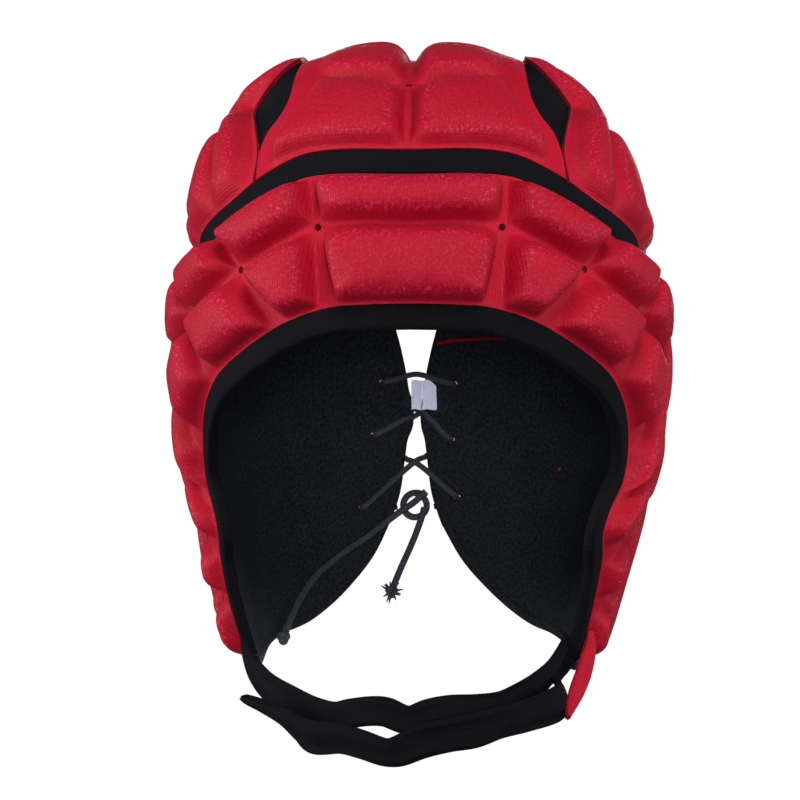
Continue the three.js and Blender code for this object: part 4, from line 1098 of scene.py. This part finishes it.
# Places along each strap in millimetres, with the width there and its lean in degrees.
LOOP_STRAP = [
    (-65.2, -19.6, -109, 7, 4), (-64.2, -22.2, -115.4, 8, 4), (-61.6, -27.5, -120.8, 9, 6),
    (-57.6, -35, -125, 10, 8), (-53.2, -43, -128, 10.5, 8), (-44.6, -54, -131.6, 11, 8),
    (-35, -63, -135, 11, 8), (-26.8, -68.5, -136.2, 11, 8), (-21.1, -71, -134.8, 11, 8),
    (-12.5, -73.5, -133.6, 11, 8), (-7.7, -74.3, -133.9, 11, 8), (0.4, -75, -136.7, 10.5, 8),
    (8.1, -74, -134.2, 10.5, 8), (15.7, -72.5, -133.2, 11, 8), (24.8, -69, -133.2, 11, 8),
    (34, -63.5, -132.6, 11, 8), (41.2, -56, -129.8, 10.5, 8), (47.4, -48.2, -126.3, 9.5, 8),
    (53.4, -39, -121.4, 8, 6), (57.2, -30, -116.4, 7, 4), (60.3, -25, -111.5, 7, 4)]
HOOK_STRAP = [
    (62.4, -21.6, -114.6, 7, 4), (58.9, -26.8, -119.8, 6.2, 4), (55, -35, -124.2, 7, 3),
    (57.4, -45.4, -129.4, 10.5, 1), (55.2, -54.5, -132.4, 13.5, 0), (43.9, -63.5, -136, 12.5, -4),
    (34, -70, -138, 12.5, -8), (24.9, -74.5, -140.5, 13.5, -8), (15.4, -78, -141.9, 13, -8),
    (5.3, -81, -144, 13, -8), (-3, -82.5, -147.3, 11.7, -8), (-7.4, -82.5, -147.7, 10.5, -8),
    (-15.8, -81.5, -145.1, 10.6, -8), (-23.6, -79.5, -143.2, 11, -8), (-34.2, -75.5, -143.1, 12.3, -8),
    (-39.2, -72, -140.6, 9.3, -6), (-45.8, -67, -136.7, 7, -4), (-54.1, -61, -133.3, 5.6, -2),
    (-62.5, -55.5, -130.7, 4, 0)]
CHIN_TAB = [
    (67.9, -24, -107.3, 2.4, 0), (68.1, -24.8, -113.4, 4.4, 0), (66.9, -28, -118, 6.3, 0),
    (65.3, -34, -122.9, 7, 0), (62.7, -42, -128.6, 6.5, 0), (60.5, -49, -133.5, 4.4, 0),
    (59.1, -54.5, -137.8, 1.6, 0)]


def strap_frames(table, count, facing=None):
    rows = np.array(table, float)
    places = np.linspace(0, 1, len(rows))
    t = np.linspace(0, 1, count)
    run = smooth_run(rows[:, :3])
    at = run(t)
    along = unit(run(t + 1e-4) - run(t - 1e-4))
    lean = np.radians(value_at(np.stack([places, rows[:, 4]], 1), t))
    away = unit(at * (1, 1, 0)) if facing is None else np.tile(facing, (count, 1))
    away = away * np.cos(lean)[:, None]
    away[:, 2] = np.sin(lean)
    across = unit(np.cross(along, away))
    width = value_at(np.stack([places, rows[:, 3]], 1), t)
    return t, at, across, np.cross(across, along), width


def strap_piece(name, table, count, material, folds, tip=0.0, facing=None):
    t, at, across, out, width = strap_frames(table, count, facing)
    left = lengths_along(at)[-1] - lengths_along(at)
    if tip:
        width = width * np.sqrt(np.clip(1 - (1 - np.clip(left / tip, 0.02, 1)) ** 2, 0, 1))
    section = soft_section(-0.5, 0.5, -STRAP_THICKNESS / 2, STRAP_THICKNESS / 2, 36, 0.5)
    rows = np.repeat(section[None], count, 0)
    run = rows[..., 0] * 2 * np.pi
    crease = np.sin(1.5 * run + 9 * t[:, None]) + 0.6 * np.sin(2.7 * run - 13 * t[:, None] + 1)
    rows[..., 1] += folds * crease * np.sin(np.pi * np.clip(t * 6, 0, 0.5))[:, None]
    rows[..., 0] *= width[:, None]
    make_piece(name, swept_strip(at, across, out, rows), material)


strap_piece("chin_strap_loop", LOOP_STRAP, 200, black_knit, 0.5)
strap_piece("chin_strap_hook", HOOK_STRAP, 240, black_knit, 0.5, tip=3.0)
strap_piece("chin_tab", CHIN_TAB, 50, red_mesh, 0.15, facing=(0.4, -0.92, 0))

# Label: a small woven white tag, folded once and caught in the rear slit. It is left blank, and given a
# faint bluish glow as painted light inside the slit.
TAG_WHITE = (0.95, 0.96, 1.0, 1)
TAG_SHADE = (0.66, 0.7, 0.98, 1)
TAG_HALF, TAG_FOOT, TAG_HEIGHT, TAG_THICKNESS = 5.4, -13.5, 7.1, 0.36
# The tag glows faintly: painted light standing in for the lamps reaching into the slit.
white_tag, tree, shader, cloth = new_finish(
    "white_tag", Roughness=0.55, Emission_Strength=0.16, Emission_Color=(0.66, 0.72, 1, 1))
fuzz = fuzz_on(tree, cloth, 0.0007, 0.004)
lead_in(tree, shader, Base_Color=colours(tree, fuzz["Mottle"], TAG_SHADE, TAG_WHITE))
raise_relief(tree, shader, fuzz["Specks"], 0.0002, 0.5)
leaf, rise = np.meshgrid(np.linspace(-TAG_HALF, TAG_HALF, 61), np.linspace(0, 1, 33), indexing="ij")
round_off = np.clip((leaf - 0.6) / 4.8, 0, 1) ** 3 * 1.5 + np.clip((-4.2 - leaf) / 1.2, 0, 1) ** 2 * 0.25
level = TAG_FOOT + (TAG_HEIGHT - round_off) * rise + 0.12 * np.sin(leaf * 1.1)
turn = SLIT_TURN - 1.9 - (leaf + 0.4 * (0.5 - rise) * (leaf > 0)) / 1.745
direction = turned(aim(np.full(leaf.shape, 180.0), level), turn)
fold = np.exp(-(((leaf + 1.0 - 0.5 * rise) / 0.45) ** 2)) * np.clip(1.35 - 1.35 * rise, 0, 1)
curl = -1.6 + 1.9 * fold + 0.35 * np.cos((leaf - 2) * 0.55) + 0.2 * np.sin(3 * rise + 0.7 * leaf)
outer, inner = (on_head(direction, curl + lift) for lift in (TAG_THICKNESS / 2, -TAG_THICKNESS / 2))
part = shell(outer, inner, np.stack([leaf, level * 1.75], -1), [], True)
label = make_piece("label", part, white_tag)

# Studio: a flat white paper floor below the guard, a large soft light high over the camera and
# a weaker one below it, fills to the sides and the rear, and a dim even surround.
FLOOR_LEVEL, FLOOR_REACH = -0.72, 3.0
SURROUND_LIGHT = 0.09
mesh = bpy.data.meshes.new("studio_floor")
mesh.from_pydata(
    [(x * FLOOR_REACH, y * FLOOR_REACH, FLOOR_LEVEL) for x, y in ((-1, -1), (1, -1), (1, 1), (-1, 1))],
    [], [(0, 1, 2, 3)])
studio_white, tree, shader, _ = new_finish(
    "studio_white", Roughness=0.9, Emission_Strength=0.8, Emission_Color=(1, 1, 1, 1))
spot = add_node(tree, "ShaderNodeTexCoord", {}).outputs["Object"]
fuzz = fuzz_on(tree, spot, 0.01, 0.6)
paper = colours(tree, fuzz["Mottle"], (0.86, 0.86, 0.86, 1), (0.9, 0.9, 0.9, 1))
lead_in(tree, shader, Base_Color=paper)
mesh.materials.append(studio_white)
floor = put_in_scene("studio_floor", mesh)
floor.visible_diffuse = False
floor.visible_glossy = False

for name, spot, goal, size, power in (
        ("high_light", (0.2, -1.25, 1.15), (0, 0, -0.1), 0.7, 20.0),
        ("front_light", (0.1, -1.9, -0.06), (0, 0, -0.12), 0.6, 16.5),
        ("left_light", (-1.5, -0.3, -0.1), (0, 0, -0.12), 0.9, 22.0),
        ("right_light", (1.5, -0.25, -0.1), (0, 0, -0.12), 0.9, 12.0),
        ("rear_light", (0.1, 1.9, 0.1), (0, 0, -0.12), 0.9, 16.0)):
    lamp = bpy.data.lights.new(name, "AREA")
    lamp.size = size
    lamp.energy = power
    light = put_in_scene(name, lamp)
    light.location = spot
    look = np.array(goal, float) - np.array(spot, float)
    light.rotation_euler = (
        math.atan2(math.hypot(look[0], look[1]), -look[2]), 0, math.atan2(look[1], look[0]) - math.pi / 2)
    light.visible_camera = False

world = bpy.data.worlds.new("studio_surround")
world.use_nodes = True
tree = world.node_tree
dim = tree.nodes["Background"]
dim.inputs[0].default_value = (1, 1, 1, 1)
dim.inputs[1].default_value = SURROUND_LIGHT
seen = add_node(tree, "ShaderNodeBackground", {0: (1, 1, 1, 1), 1: 1.0})
direct = add_node(tree, "ShaderNodeLightPath", {}).outputs["Is Camera Ray"]
mixed = add_node(tree, "ShaderNodeMixShader", {0: direct, 1: dim.outputs[0], 2: seen.outputs[0]})
tree.links.new(mixed.outputs[0], tree.nodes["World Output"].inputs[0])
bpy.context.scene.world = world
bpy.context.scene.view_settings.view_transform = "Standard"
